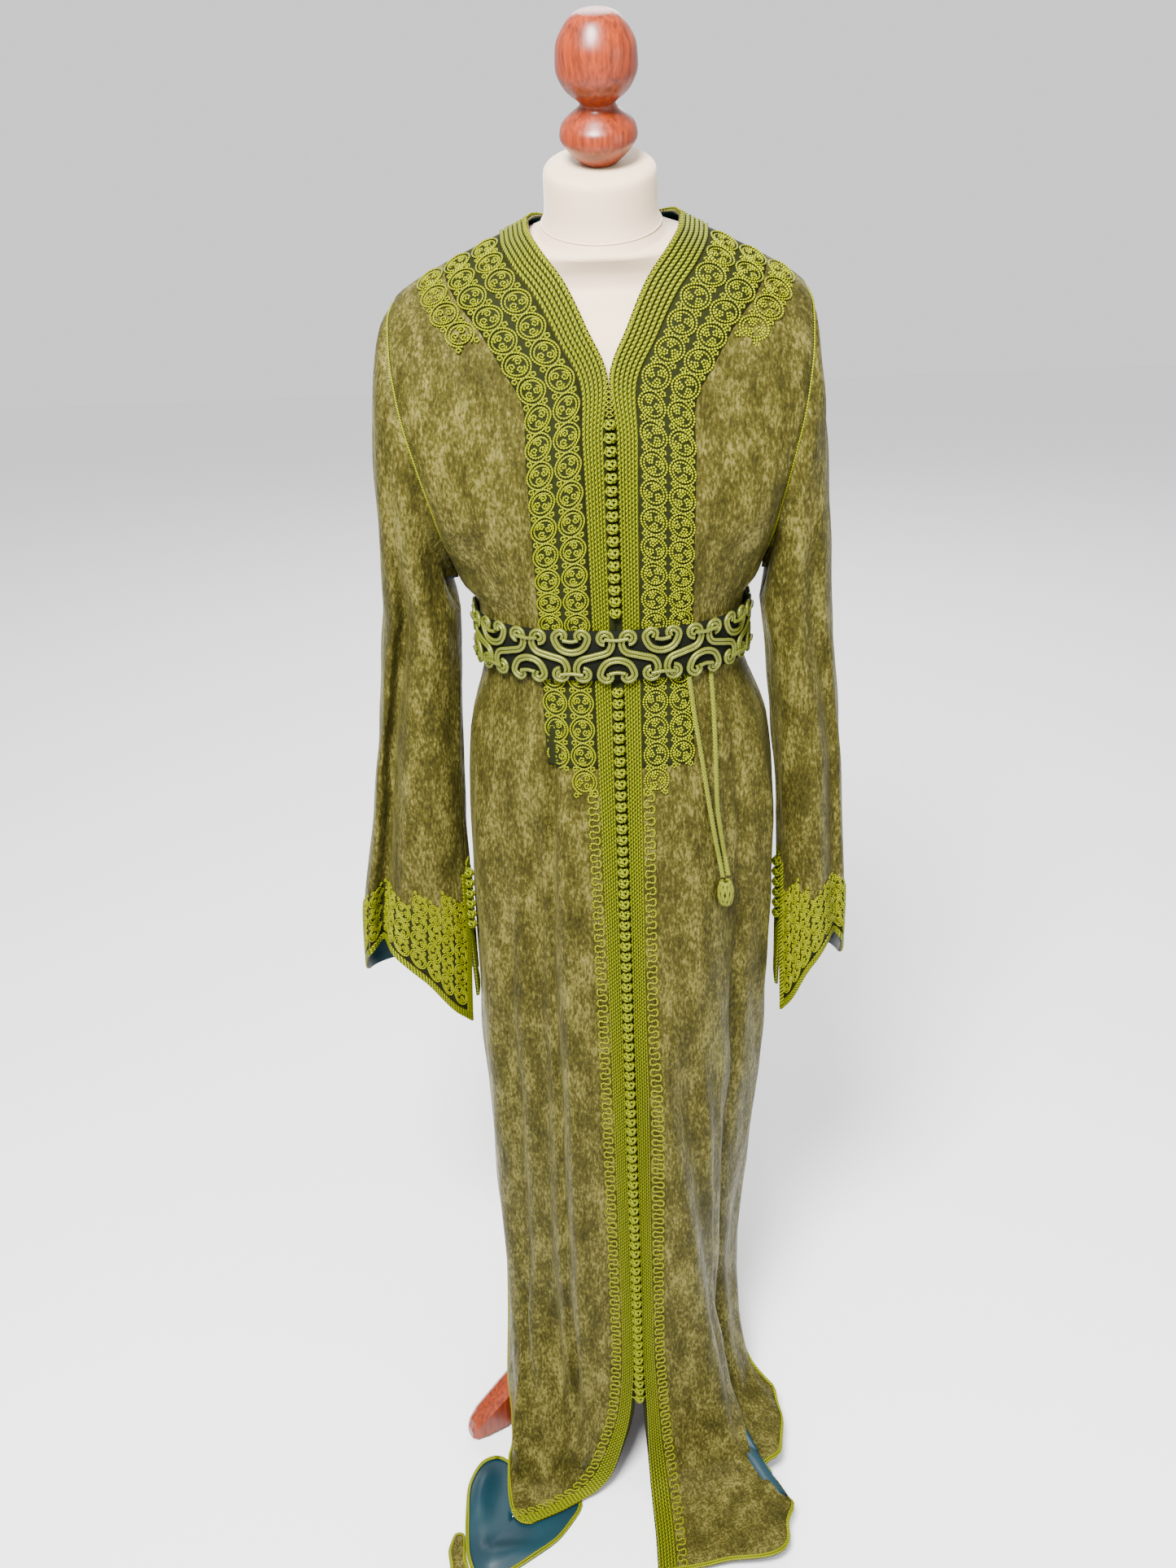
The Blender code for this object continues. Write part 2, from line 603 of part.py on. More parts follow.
def sleeve_grid(side, table, rows_above=5, rows_below=9):
    """Rows from the armhole to the hem; columns from the slit round front and back."""
    edge, lift = armhole(side)
    length = np.concatenate([[0], np.cumsum(np.linalg.norm(np.diff(edge, axis=0), axis=1))])
    turn = length / length[-1]
    under = np.clip((np.abs(turn - 0.5) * 2 - UNDERARM) / (1 - UNDERARM), 0, 1)[:, None]
    edge = edge + lift * under * UNDERARM_CLEAR
    lift = unit(lift * (1 - under) + np.array([side * -0.5, 0, -1.0]) * under)
    hem = smooth(CUFF["turn"], CUFF["z"], turn)
    top_z = table["z"][0]
    rows = [edge]
    for number in range(1, rows_above):
        share = number / rows_above
        below = sleeve_section(side, table, turn, np.full(len(turn), top_z), 0.0)
        bow = math.sin(math.pi * share ** 0.45) * SLEEVE_BOW[side]
        rows.append(edge + (below - edge) * share + unit(lift * [1, 1, 0]) * bow * (1 - under)
                    + np.array([side, 0, 0]) * bow * under)
    for number in range(rows_below + 1):
        share = number / rows_below
        rows.append(sleeve_section(side, table, turn, top_z + (hem - top_z) * share, share))
    return np.array(rows), lift


def sleeve_section(side, table, turn, height, share):
    """A row of the sleeve at given heights; share is 0 below the armhole, 1 at the hem."""
    outer, inner = by_height(table, "outer", height), by_height(table, "inner", height)
    front, behind = by_height(table, "front", height), by_height(table, "behind", height)
    opening = SLIT_OPEN * max(0.0, (share - SLIT_START) / (1 - SLIT_START))
    spread = SEAM_GAP * 2 + opening
    around = 2 * math.pi * (turn * (1 - spread) + spread / 2) + SLIT_TURN * 2 * math.pi * min(1, share * 3)
    furrow = FURROW_DEPTH * math.sin(math.pi * min(1, share * 1.25 + 0.1) / 2)
    hollow = 1 - furrow / front * np.exp(-((turn - SLEEVE_FURROW) / 0.055) ** 2)
    half = (outer - inner) / 2
    x = (outer + inner) / 2 - half * np.cos(around)
    depth = np.where(np.sin(around) > 0, front * hollow, behind)
    y = by_height(table, "centre", height) - depth * np.sin(around)
    return np.stack([side * x, y, height], axis=1)


def make_sleeves():
    for side, word, table in ((LEFT, "left", SLEEVES[0]), (RIGHT, "right", SLEEVES[1])):
        grid, lift = sleeve_grid(side, table)
        normal = outward(grid) * side
        normal[0] = lift
        wall("sleeve_" + word, grid, grid - normal * CLOTH, "crushed_velvet")
        make_cuff(word, grid, normal)


def make_cuff(word, grid, normal):
    """The embroidered cuff over the sleeve's last rows, and the knots of its slit."""
    ground = (grid + normal * LAY_GAP)[CUFF_FIRST_ROW:]
    top = (grid + normal * (LAY_GAP + EMBROIDERY))[CUFF_FIRST_ROW:]
    wall("cuff_" + word, top[:, 1:-1], ground[:, 1:-1], "embroidery_green")
    slit = (grid[:, 0] + grid[:, -1]) / 2
    out = unit(normal[:, 0] + normal[:, -1])
    length = np.concatenate([[0], np.cumsum(np.linalg.norm(np.diff(slit, axis=0), axis=1))])
    rows = np.arange(len(slit))
    first = np.interp(CUFF_KNOT_ROW, rows, length)
    wanted = first + KNOT_PITCH * np.linspace(0, CUFF_KNOTS, 4 * CUFF_KNOTS + 1)
    path = point_at(slit, length, wanted)
    lift = point_at(out, length, wanted)
    path = path + lift * CUFF_KNOT_LIFT
    sideways = np.cross(unit(path[-1] - path[0]), unit(lift.mean(axis=0)))
    beaded_row("cuff_knots_" + word, path, CUFF_KNOTS, KNOT_PITCH * 0.9999, "braid_lime", 0.0, sideways)


def lean_point(along, radius, turn):
    """A point of the leaning neck: along its axis, out by a radius, at a turn."""
    x = radius * math.cos(turn)
    y = radius * math.sin(turn)
    return (NECK_FOOT[0] + x,
            NECK_FOOT[1] + y * math.cos(NECK_LEAN) - along * math.sin(NECK_LEAN),
            NECK_FOOT[2] + y * math.sin(NECK_LEAN) + along * math.cos(NECK_LEAN))


def turned(table, count):
    """Rings of a turned profile on the leaning axis of the neck."""
    turns = np.linspace(0, 2 * math.pi, count, endpoint=False)
    return np.array([[lean_point(along, radius, turn) for turn in turns]
                     for along, radius in zip(table["along"], table["radius"])])


def make_form():
    body, neck = read_table(TORSO), read_table(NECK)
    count = 24
    rings = []
    for z, half, front, behind, square, lean in zip(*(body[key] for key in body)):
        level = ring((0, 0, z), half, -front, behind, square, count)
        tip = np.where(level[:, 1] < 0, 1.0, LEAN_BEHIND)
        level[:, 2] += level[:, 1] * math.tan(math.radians(lean)) * tip
        level[level[:, 0] > 0, 0] *= float(narrowing(RIGHT, z))
        rings.append(level)
    rings += list(turned(neck, count))
    loft("form_torso", np.array(rings), "form_jersey")
    loft("finial", turned(read_table(FINIAL), 16), "mahogany")


def make_stand():
    x, y = STAND_AXIS
    pole = [ring((x, y, z), POLE_RADIUS, POLE_RADIUS, POLE_RADIUS, 2.0, 12) for z in (HUB_TOP, POLE_TOP)]
    loft("stand_pole", np.array(pole), "mahogany")
    hub = [ring((x, y, z), r, r, r, 2.0, 18) for z, r in HUB_PROFILE]
    loft("stand_hub", np.array(hub), "mahogany")
    profile = read_table(LEG)
    for number, angle in enumerate(LEG_ANGLES, start=1):
        direction = np.array([math.cos(math.radians(angle)), math.sin(math.radians(angle)), 0])
        across = np.array([-direction[1], direction[0], 0])
        rings = []
        for out, low, high, half in zip(*(profile[key] for key in profile)):
            bevel = min(half, (high - low) / 2) * 0.45
            corners = ((-half, low + bevel), (-half + bevel, low), (half - bevel, low), (half, low + bevel),
                       (half, high - bevel), (half - bevel, high), (-half + bevel, high), (-half, high - bevel))
            rings.append([np.array([x, y, 0]) + direction * out + across * wide + np.array([0, 0, z])
                          for wide, z in corners])
        loft(f"stand_leg_{number}", np.array(rings), "mahogany")


def waist_ring(count, offset):
    """Points round the waist, outside every panel's plan curve there."""
    loops = []
    for side, face in ((RIGHT, FRONT), (RIGHT, BACK), (LEFT, BACK), (LEFT, FRONT)):
        curve, length, _ = panel_curve(side, face, BELT_LEVEL)
        curve = curve if (side, face) in ((RIGHT, FRONT), (LEFT, BACK)) else curve[::-1]
        loops.append(curve)
    loop = np.concatenate(loops)
    length = np.concatenate([[0], np.cumsum(np.linalg.norm(np.diff(loop[:, :2], axis=0), axis=1))])
    wanted = np.linspace(0, length[-1], count, endpoint=False)
    points = np.stack([np.interp(wanted, length, loop[:, axis]) for axis in range(2)], axis=1)
    tangent = np.roll(points, -1, axis=0) - np.roll(points, 1, axis=0)
    normal = unit(np.stack([tangent[:, 1], -tangent[:, 0]], axis=1))
    return points + normal * offset, normal


def belt_relief(across, down):
    """Height of the corded figures, 0 to 1: bosses at the ends of slanting cords."""
    height = np.zeros_like(across + down)
    for boss_across, boss_down in ((0.14, 0.14), (0.42, 0.14), (0.64, 0.86), (0.92, 0.86)):
        gap = np.abs((across - boss_across + 0.5) % 1 - 0.5)
        height = np.maximum(height, np.exp(-(gap / 0.07) ** 2 - ((down - boss_down) / 0.16) ** 2))
    for start, slant in ((0.42, 0.22), (0.14, -0.22)):
        middle = start + slant * (down - 0.14) / 0.72
        gap = np.abs((across - middle + 0.5) % 1 - 0.5)
        height = np.maximum(height, 0.8 * np.exp(-(gap / 0.06) ** 2))
    return height


def make_belt():
    columns, rows = 8 * BELT_REPEATS, 7
    inner, normal = waist_ring(columns, BELT_CLEAR)
    inner_rows, outer_rows = [], []
    for row in range(rows):
        down = row / (rows - 1)
        z = BELT_TOP + (BELT_LOW - BELT_TOP) * down
        across = np.arange(columns) / 8
        thick = BELT_THICK + BELT_RELIEF * belt_relief(across, down)
        if row in (0, rows - 1):
            thick = np.full(columns, BELT_THICK)
        outer = inner + normal * thick[:, None]
        inner_rows.append(np.column_stack([inner, np.full(columns, z)]))
        outer_rows.append(np.column_stack([outer, np.full(columns, z)]))
    wall("belt", np.array(outer_rows), np.array(inner_rows), "satin_cord", closed=True)


def beaded_row(name, path, count, pitch, material_name, lift, side_axis):
    """A row of round knots on a path, one body: wide at each knot, narrow between."""
    length = np.concatenate([[0], np.cumsum(np.linalg.norm(np.diff(path, axis=0), axis=1))])
    places, radii = [0.0], [CORD_NECK / 2]
    for number in range(count):
        places += [pitch * (number + 0.5), pitch * (number + 1)]
        radii += [KNOT_WIDTH / 2, CORD_NECK / 2]
    points = point_at(path, length, np.array(places))
    along = unit(np.gradient(points, axis=0))
    out = unit(np.cross(along, side_axis))
    across = unit(np.cross(along, out))
    points = points + out * lift
    turns = (np.arange(6) + 0.5) * math.pi / 3
    rings = [[points[i] + radii[i] * (out[i] * math.cos(t) + across[i] * math.sin(t)) for t in turns]
             for i in range(len(points))]
    return loft(name, np.array(rings), material_name)


def centre_line():
    grid = panel_rows(RIGHT, FRONT)
    line = grid[:, 0].copy()
    line[:, 0] = 0
    return line[line[:, 2] < V_BOTTOM]


def make_knots():
    """The aakad knots down the front, left out where the belt lies over them."""
    line = centre_line()
    length = np.concatenate([[0], np.cumsum(np.linalg.norm(np.diff(line, axis=0), axis=1))])
    start = np.interp(-FIRST_KNOT, -line[:, 2], length)
    stretches = []
    before_belt = int((np.interp(-BELT_TOP, -line[:, 2], length) - start - BELT_MARGIN) / KNOT_PITCH)
    after_belt = math.ceil((np.interp(-BELT_LOW, -line[:, 2], length) - start + BELT_MARGIN) / KNOT_PITCH)
    stretches = (("knots_upper", 0, before_belt), ("knots_lower", after_belt, KNOT_COUNT))
    side_axis = np.array([1.0, 0, 0])
    for name, first, last in stretches:
        wanted = start + KNOT_PITCH * np.linspace(first, last, 4 * (last - first) + 1)
        path = point_at(line, length, wanted)
        beaded_row(name, path, last - first, KNOT_PITCH * 0.9999, "braid_lime", KNOT_LIFT, side_axis)


def front_tree():
    """The outer faces that the tie cords hang against: the skirt and its embroidery."""
    points, faces = [], []
    for name in ("front_right", "embroidery_right"):
        mesh = bpy.data.objects[name].data
        start = len(points)
        points += [vertex.co.copy() for vertex in mesh.vertices]
        faces += [[start + index for index in polygon.vertices] for polygon in mesh.polygons]
    return BVHTree.FromPolygons(points, faces)


def resting_y(tree, x, z, radius):
    """The y at which a ball comes to rest against the front of the skirt."""
    places = []
    for shift in np.linspace(-radius, radius, 9):
        for rise in np.linspace(-radius, radius, 5):
            depth = math.sqrt(max(0.0, radius ** 2 - shift ** 2 - rise ** 2))
            place, _, _, _ = tree.ray_cast(Vector((x + shift, -1, z + rise)), Vector((0, 1, 0)))
            if place is not None and depth > 0:
                places.append(place.y - depth)
    return min(places)


def tube(name, points, diameter, material_name, resolution=2):
    """A round cord on a POLY spline through points of a smooth curve."""
    data = bpy.data.curves.new(name, "CURVE")
    data.dimensions = "3D"
    data.bevel_depth = diameter / 2
    data.bevel_resolution = resolution
    data.use_fill_caps = True
    spline = data.splines.new("POLY")
    spline.points.add(len(points) - 1)
    for place, point in zip(spline.points, points):
        place.co = (*point, 1.0)
    data.materials.append(MATERIALS[material_name])
    made = bpy.data.objects.new(name, data)
    PARTS.objects.link(made)
    return made


def tie_path(tree, route, end_y, count=20):
    """A cord lying on the skirt, which comes out to the knot's top at its end."""
    route = np.array(route)
    place = np.arange(len(route))
    wanted = np.linspace(0, len(route) - 1, count)
    x = smooth(place, route[:, 0], wanted)
    z = -smooth(place, -route[:, 1], wanted)
    y = np.array([resting_y(tree, a, b, TIE_DIAMETER / 2 + TIE_CLEAR) for a, b in zip(x, z)])
    y[-1] = end_y
    y[1:-1] = np.minimum(y[1:-1], (y[:-2] + y[2:]) / 2)
    return [(float(a), float(c), float(b)) for a, c, b in zip(x, y, z)]


def make_ties():
    tree = front_tree()
    x, z = TIE_KNOT_CENTRE
    half_width, half_height = TIE_KNOT_HALF
    y = resting_y(tree, x, z, half_width + TIE_CLEAR)
    for name, route in (("tie_cord_a", TIE_ROUTE_A), ("tie_cord_b", TIE_ROUTE_B)):
        tube(name, tie_path(tree, route, y), TIE_DIAMETER, "satin_cord")
    rings = []
    for share in np.linspace(-1, 1, 9):
        radius = half_width * (0.45 + 0.55 * math.sqrt(1 - share ** 2))
        rings.append(ring((x, y, z - half_height * share), radius, radius, radius, 2.0, 12))
    loft("tie_knot", np.array(rings), "satin_cord")


def flat_piece(name, outline, low, high, material_name):
    """A flat piece of cloth with a rounded outline, lying on the floor."""
    outline = np.array(outline)
    place = np.arange(len(outline) + 1)
    closed = np.vstack([outline, outline[:1]])
    wanted = np.linspace(0, len(outline), 2 * len(outline), endpoint=False)
    points = np.stack([np.interp(wanted, place, closed[:, axis]) for axis in range(2)], axis=1)
    rows = [np.column_stack([points, np.full(len(points), z)]) for z in (low, high)]
    return loft(name, np.array(rows), material_name)


def make_turnback():
    flat_piece("lining_turnback", LINING_OUTLINE, 0.0, CLOTH, "lining_teal")
    flat_piece("hem_turnback", TURNBACK_EDGE, 0.0, CLOTH * 2, "crushed_velvet")


def stand_on_origin():
    """Put the origin under the middle of the whole object, at the floor."""
    bpy.context.view_layer.update()
    corners = np.array([item.matrix_world @ Vector(corner) for item in PARTS.objects for corner in item.bound_box])
    middle = (corners.min(axis=0) + corners.max(axis=0)) / 2
    shift = Vector((-middle[0], -middle[1], 0.0))
    for item in PARTS.objects:
        item.location += shift
    return shift


def main():
    clear_scene()
    make_materials()
    make_panels()
    make_bands()
    make_sleeves()
    make_form()
    make_stand()
    make_belt()
    make_knots()
    make_ties()
    make_turnback()
    print("origin moved by", tuple(round(value, 5) for value in stand_on_origin()))


main()
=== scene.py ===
# %% [markdown]
# # A Moroccan kaftan on a dress form
#
# The real object is a floor-length robe of crushed panne velvet, edged with plaited
# silk braid (sfifa), couched with scrolls of silk cord, closed with a long row of
# knotted buttons (aakad) and worn with a belt of satin-wrapped cords. It hangs on a
# limbless dress form with a turned mahogany finial and a tripod stand.
#
# The solids in the frame fix every size. This script lays finer cloth, cords and
# finishes over them, in metres, in the same place.

# %% Load the frame
import math

import bpy
import numpy as np
from mathutils import Matrix, Vector, noise
from mathutils.bvhtree import BVHTree


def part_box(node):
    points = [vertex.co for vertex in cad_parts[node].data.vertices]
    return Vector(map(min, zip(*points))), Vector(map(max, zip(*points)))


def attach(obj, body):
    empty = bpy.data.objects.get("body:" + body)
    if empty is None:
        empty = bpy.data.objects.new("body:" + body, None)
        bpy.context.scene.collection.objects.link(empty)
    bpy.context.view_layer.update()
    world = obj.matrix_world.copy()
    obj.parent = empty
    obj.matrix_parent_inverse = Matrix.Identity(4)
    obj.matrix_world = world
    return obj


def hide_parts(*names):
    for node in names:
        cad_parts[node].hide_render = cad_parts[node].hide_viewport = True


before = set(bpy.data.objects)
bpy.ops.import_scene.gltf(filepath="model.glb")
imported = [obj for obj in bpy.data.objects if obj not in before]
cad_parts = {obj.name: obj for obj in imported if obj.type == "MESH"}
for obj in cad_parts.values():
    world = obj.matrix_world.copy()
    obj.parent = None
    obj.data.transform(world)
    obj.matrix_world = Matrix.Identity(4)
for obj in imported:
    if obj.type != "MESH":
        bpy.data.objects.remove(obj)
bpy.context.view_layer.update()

# %% [markdown]
# The tables below place the neck of the form at x = y = 0, while the frame's origin is
# under the middle of the whole object. The stand's pole is in both, so it gives the
# step from one to the other.

# %% From the tables' origin to the frame's
STAND_AXIS = (-0.024, -0.014)
pole_low, pole_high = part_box("stand_pole")
SHIFT = np.array([(pole_low[axis] + pole_high[axis]) / 2 - STAND_AXIS[axis] for axis in (0, 1)] + [0.0])
print("tables moved by", SHIFT.round(4))

# %% [markdown]
# ## Camera
#
# The photo was taken from just above waist-high shelves, standing close: the camera is
# 1.49 m up and 1.37 m in front of the neck, looks 25 degrees down and is rolled a
# little. A long side of 1927 pixels and a focal length of 1700 pixels make a 32 mm lens.

# %% Camera
CAMERA_PLACE = Vector((0.0, -1.37, 1.485))
CAMERA_DOWN, CAMERA_YAW, CAMERA_ROLL = 25.0, -1.5, -2.4
FRAME_WIDE, FRAME_HIGH, FOCAL_PIXELS = 1445, 1927, 1700
SENSOR = 36.0


def add_camera():
    down, yaw, roll = (math.radians(value) for value in (CAMERA_DOWN, CAMERA_YAW, CAMERA_ROLL))
    ahead = Vector((math.sin(yaw) * math.cos(down), math.cos(yaw) * math.cos(down), -math.sin(down)))
    right = ahead.cross(Vector((0, 0, 1))).normalized()
    up = right.cross(ahead)
    tilted_right = math.cos(roll) * right + math.sin(roll) * up
    tilted_up = -math.sin(roll) * right + math.cos(roll) * up
    data = bpy.data.cameras.new("photo_camera")
    data.sensor_fit = "VERTICAL"
    data.sensor_height = SENSOR
    data.lens = SENSOR * FOCAL_PIXELS / FRAME_HIGH
    camera = bpy.data.objects.new("photo_camera", data)
    bpy.context.scene.collection.objects.link(camera)
    turn = np.array([tilted_right, tilted_up, -ahead]).T
    rows = [[*turn[row], CAMERA_PLACE[row] + SHIFT[row]] for row in range(3)]
    camera.matrix_world = Matrix(rows + [[0, 0, 0, 1]])
    bpy.context.scene.camera = camera
    return camera


camera = add_camera()
print("camera at", [round(v, 3) for v in camera.location], "lens", round(camera.data.lens, 1))

# %% [markdown]
# ## Tools for tables and cloth
#
# Half a front or back is a table of sections. Each row gives the ends of a curve: the
# centre edge, with the neckline above it, and the side, with the armhole above the side
# seam. `square` bends the curve between them, from an ellipse (2) to a box.

# %% The cut of the kaftan, as sections from the shoulder to the hem
CLOTH = 0.0020
SEAM_GAP = 0.0003
LAY_GAP = 0.0005
FRONT, BACK = -1, 1
LEFT, RIGHT = -1, 1
SIDES = ((RIGHT, "right"), (LEFT, "left"))

FRONT_TOP = """
edge_x  edge_y  edge_z  side_x  side_y  side_z  square rows
0.0700  0.0000  1.4200  0.2000  0.0000  1.3520  2.0    1
0.0680 -0.0220  1.4120  0.2030 -0.0240  1.3380  2.0    1
0.0560 -0.0560  1.3960  0.2020 -0.0430  1.3080  2.0    1
0.0370 -0.0740  1.3720  0.1980 -0.0560  1.2780  2.2    1
0.0180 -0.0860  1.3330  0.1920 -0.0640  1.2460  2.3    1
0.0003 -0.0960  1.2850  0.1820 -0.0660  1.2060  2.3    2
0.0003 -0.1090  1.2050  0.1680 -0.0560  1.1480  2.3    2
0.0003 -0.1110  1.1200  0.1560 -0.0000  1.0850  2.3    1
0.0003 -0.1090  1.0640  0.1390 -0.0000  1.0620  2.3    2
0.0003 -0.1090  1.0060  0.1380 -0.0000  1.0040  2.3    1
"""
BACK_TOP = """
edge_x  edge_y  edge_z  side_x  side_y  side_z  square rows
0.0700  0.0000  1.4200  0.2000  0.0000  1.3520  2.0    1
0.0640  0.0280  1.4220  0.2030  0.0240  1.3380  2.0    1
0.0430  0.0560  1.4180  0.2020  0.0430  1.3080  2.0    1
0.0003  0.0700  1.4080  0.1980  0.0560  1.2780  2.2    2
0.0003  0.0930  1.3300  0.1920  0.0640  1.2460  2.3    2
0.0003  0.1020  1.2450  0.1820  0.0660  1.2060  2.3    1
0.0003  0.1010  1.1750  0.1680  0.0560  1.1480  2.3    1
0.0003  0.0970  1.1200  0.1560  0.0000  1.0850  2.3    1
0.0003  0.0950  1.0640  0.1390  0.0000  1.0620  2.3    2
0.0003  0.0960  1.0060  0.1380  0.0000  1.0040  2.3    1
"""
FRONT_RIGHT_SKIRT = """
edge_x  edge_y  edge_z  side_x  side_y  side_z  square rows
0.0003 -0.1220  0.9300  0.1560 -0.0000  0.9300  2.3    2
0.0003 -0.1380  0.8200  0.1640 -0.0000  0.8300  2.3    3
0.0003 -0.1630  0.6000  0.1520 -0.0000  0.6000  2.2    3
0.0003 -0.1800  0.3800  0.1330 -0.0000  0.3800  2.1    2
0.0003 -0.1930  0.2300  0.1210 -0.0030  0.2300  2.1    2
0.0040 -0.2000  0.1200  0.1220 -0.0250  0.1500  2.2    2
0.0080 -0.2060  0.0450  0.1290 -0.0440  0.0940  2.4    1
0.0100 -0.2200  0.0140  0.1340 -0.0540  0.0720  2.5    1
0.0120 -0.2460  0.0040  0.1430 -0.0720  0.0590  2.8    1
0.0140 -0.2800  0.0023  0.1570 -0.0870  0.0480  3.0    1
0.0150 -0.3220  0.0022  0.1720 -0.0980  0.0370  3.5    0
"""
FRONT_LEFT_SKIRT = """
edge_x  edge_y  edge_z  side_x  side_y  side_z  square rows
0.0003 -0.1220  0.9300  0.1560 -0.0000  0.9300  2.3    2
0.0003 -0.1380  0.8200  0.1640 -0.0000  0.8200  2.3    3
0.0003 -0.1630  0.6000  0.1700 -0.0000  0.6000  2.2    3
0.0003 -0.1800  0.3800  0.1680 -0.0000  0.3800  2.1    2
0.0003 -0.1930  0.2300  0.1640 -0.0030  0.2300  2.1    2
0.0060 -0.2000  0.1300  0.1620 -0.0520  0.1500  2.2    2
0.0220 -0.2080  0.0660  0.1630 -0.1080  0.0900  2.3    1
0.0400 -0.2160  0.0240  0.1590 -0.1340  0.0460  2.4    1
0.0640 -0.2260  0.0076  0.1590 -0.1470  0.0180  2.6    1
0.0980 -0.2440  0.0050  0.1610 -0.1540  0.0080  2.8    1
0.1330 -0.2590  0.0045  0.1640 -0.1640  0.0050  3.0    0
"""
BACK_SKIRT = """
edge_x  edge_y  edge_z  side_x  side_y  side_z  square rows
0.0003  0.1220  0.9300  0.1560  0.0000  0.9300  2.3    2
0.0003  0.1480  0.8200  0.1645  0.0000  0.8250  2.3    3
0.0003  0.1800  0.6000  0.1640  0.0000  0.6000  2.2    3
0.0003  0.2060  0.3800  0.1580  0.0000  0.3800  2.1    2
0.0003  0.2240  0.2300  0.1510  0.0000  0.2300  2.1    2
0.0003  0.2380  0.1000  0.1460  0.0060  0.1500  2.2    2
0.0003  0.2520  0.0240  0.1430  0.0240  0.0900  2.2    1
0.0003  0.2720  0.0030  0.1400  0.0500  0.0300  2.2    1
0.0003  0.3100  0.0022  0.1440  0.0760  0.0060  2.2    1
0.0003  0.3500  0.0022  0.1500  0.1000  0.0022  2.2    0
"""
BANDS = """
edge_z  strip   braid   work
1.4200  0.0008  0.0250  0.0660
1.3720  0.0008  0.0260  0.0620
1.2850  0.0010  0.0230  0.0560
1.2400  0.0058  0.0190  0.0520
1.0600  0.0058  0.0165  0.0500
0.9300  0.0058  0.0155  0.0480
0.8700  0.0056  0.0150  0.0150
0.3800  0.0050  0.0130  0.0140
0.1300  0.0040  0.0140  0.0140
0.0300  0.0008  0.0190  0.0150
0.0000  0.0008  0.0210  0.0150
"""
FOLDS = """
side face top_z top_across low_z low_across reach rise_top rise_low lean   ends
1   -1    0.66  0.08       0.02  0.38       0.14  0.004    0.030    0.012  0.004
1   -1    0.62  0.22       0.02  0.56       0.10 -0.004   -0.020    0.000  0.004
1   -1    0.96  0.46       0.30  0.62       0.09 -0.010   -0.006    0.000  0.030
1   -1    0.96  0.68       0.20  0.84       0.11  0.010    0.008    0.004  0.030
-1  -1    0.92  0.22       0.16  0.26       0.10  0.010    0.014   -0.004  0.040
-1  -1    0.92  0.38       0.16  0.42       0.10 -0.013   -0.016    0.000  0.040
-1  -1    0.92  0.64       0.16  0.66       0.14  0.009    0.010    0.000  0.040
1    1    0.96  0.20       0.03  0.22       0.12  0.010    0.018    0.000  0.004
1    1    0.96  0.42       0.05  0.44       0.11 -0.010   -0.018    0.000  0.004
1    1    0.96  0.66       0.05  0.66       0.12  0.008    0.016    0.000  0.004
-1   1    0.96  0.18       0.03  0.20       0.12  0.009    0.018    0.000  0.004
-1   1    0.96  0.42       0.05  0.44       0.11 -0.010   -0.018    0.000  0.004
-1   1    0.96  0.66       0.05  0.66       0.12  0.008    0.016    0.000  0.004
"""
FINE_FOLDS = """
side face top_z top_across low_z low_across reach rise_top rise_low lean   ends
1   -1    0.60  0.30       0.02  0.50       0.070 0.005    0.020    0.014  0.004
1   -1    0.98  0.56       0.52  0.57       0.050 -0.009  -0.008    0.000  0.060
1   -1    0.56  0.48       0.10  0.66       0.055 -0.006  -0.018    0.000  0.010
-1  -1    0.98  0.31       0.50  0.29       0.050 -0.009  -0.015    0.004  0.060
-1  -1    0.80  0.52       0.20  0.56       0.060 -0.007  -0.012    0.000  0.040
-1  -1    0.30  0.45       0.06  0.62       0.080 0.005    0.014    0.008  0.010
-1  -1    0.24  0.25       0.05  0.36       0.060 -0.004  -0.010    0.000  0.010
1    1    0.90  0.32       0.10  0.33       0.060 -0.008  -0.012    0.000  0.030
-1   1    0.90  0.31       0.10  0.32       0.060 -0.008  -0.012    0.000  0.030
"""
FOLD_FADE = 0.012
NARROW_HEIGHTS = (0.93, 1.02, 1.30)     # the right side is slimmer than the left
NARROW_SHARES = (1.00, 0.94, 0.94)
SEAM_SECTIONS = 5
BACK_SLIT_SHIFT = {LEFT: 0.0, RIGHT: -0.016}


def read_table(text):
    """Turn a small text table into a dictionary of columns."""
    lines = text.strip().splitlines()
    names = lines[0].split()
    values = np.array([[float(word) for word in line.split()] for line in lines[1:]])
    return {name: values[:, number] for number, name in enumerate(names)}


def smooth(place, values, wanted):
    """Interpolate a column without overshoot (a monotone cubic); place must rise."""
    place, values = np.asarray(place, float), np.asarray(values, float)
    step = np.diff(place)
    slope = np.diff(values) / step
    tangent = np.zeros(len(place))
    tangent[0], tangent[-1] = slope[0], slope[-1]
    same = slope[:-1] * slope[1:] > 0
    first, second = 2 * step[1:] + step[:-1], step[1:] + 2 * step[:-1]
    inner = np.zeros(len(slope) - 1)
    inner[same] = (first + second)[same] / (first[same] / slope[:-1][same] + second[same] / slope[1:][same])
    tangent[1:-1] = inner
    wanted = np.clip(wanted, place[0], place[-1])
    cell = np.clip(np.searchsorted(place, wanted, side="right") - 1, 0, len(step) - 1)
    t = (wanted - place[cell]) / step[cell]
    return ((1 + 2 * t) * (1 - t) ** 2 * values[cell] + t * (1 - t) ** 2 * step[cell] * tangent[cell]
            + t * t * (3 - 2 * t) * values[cell + 1] + t * t * (t - 1) * step[cell] * tangent[cell + 1])


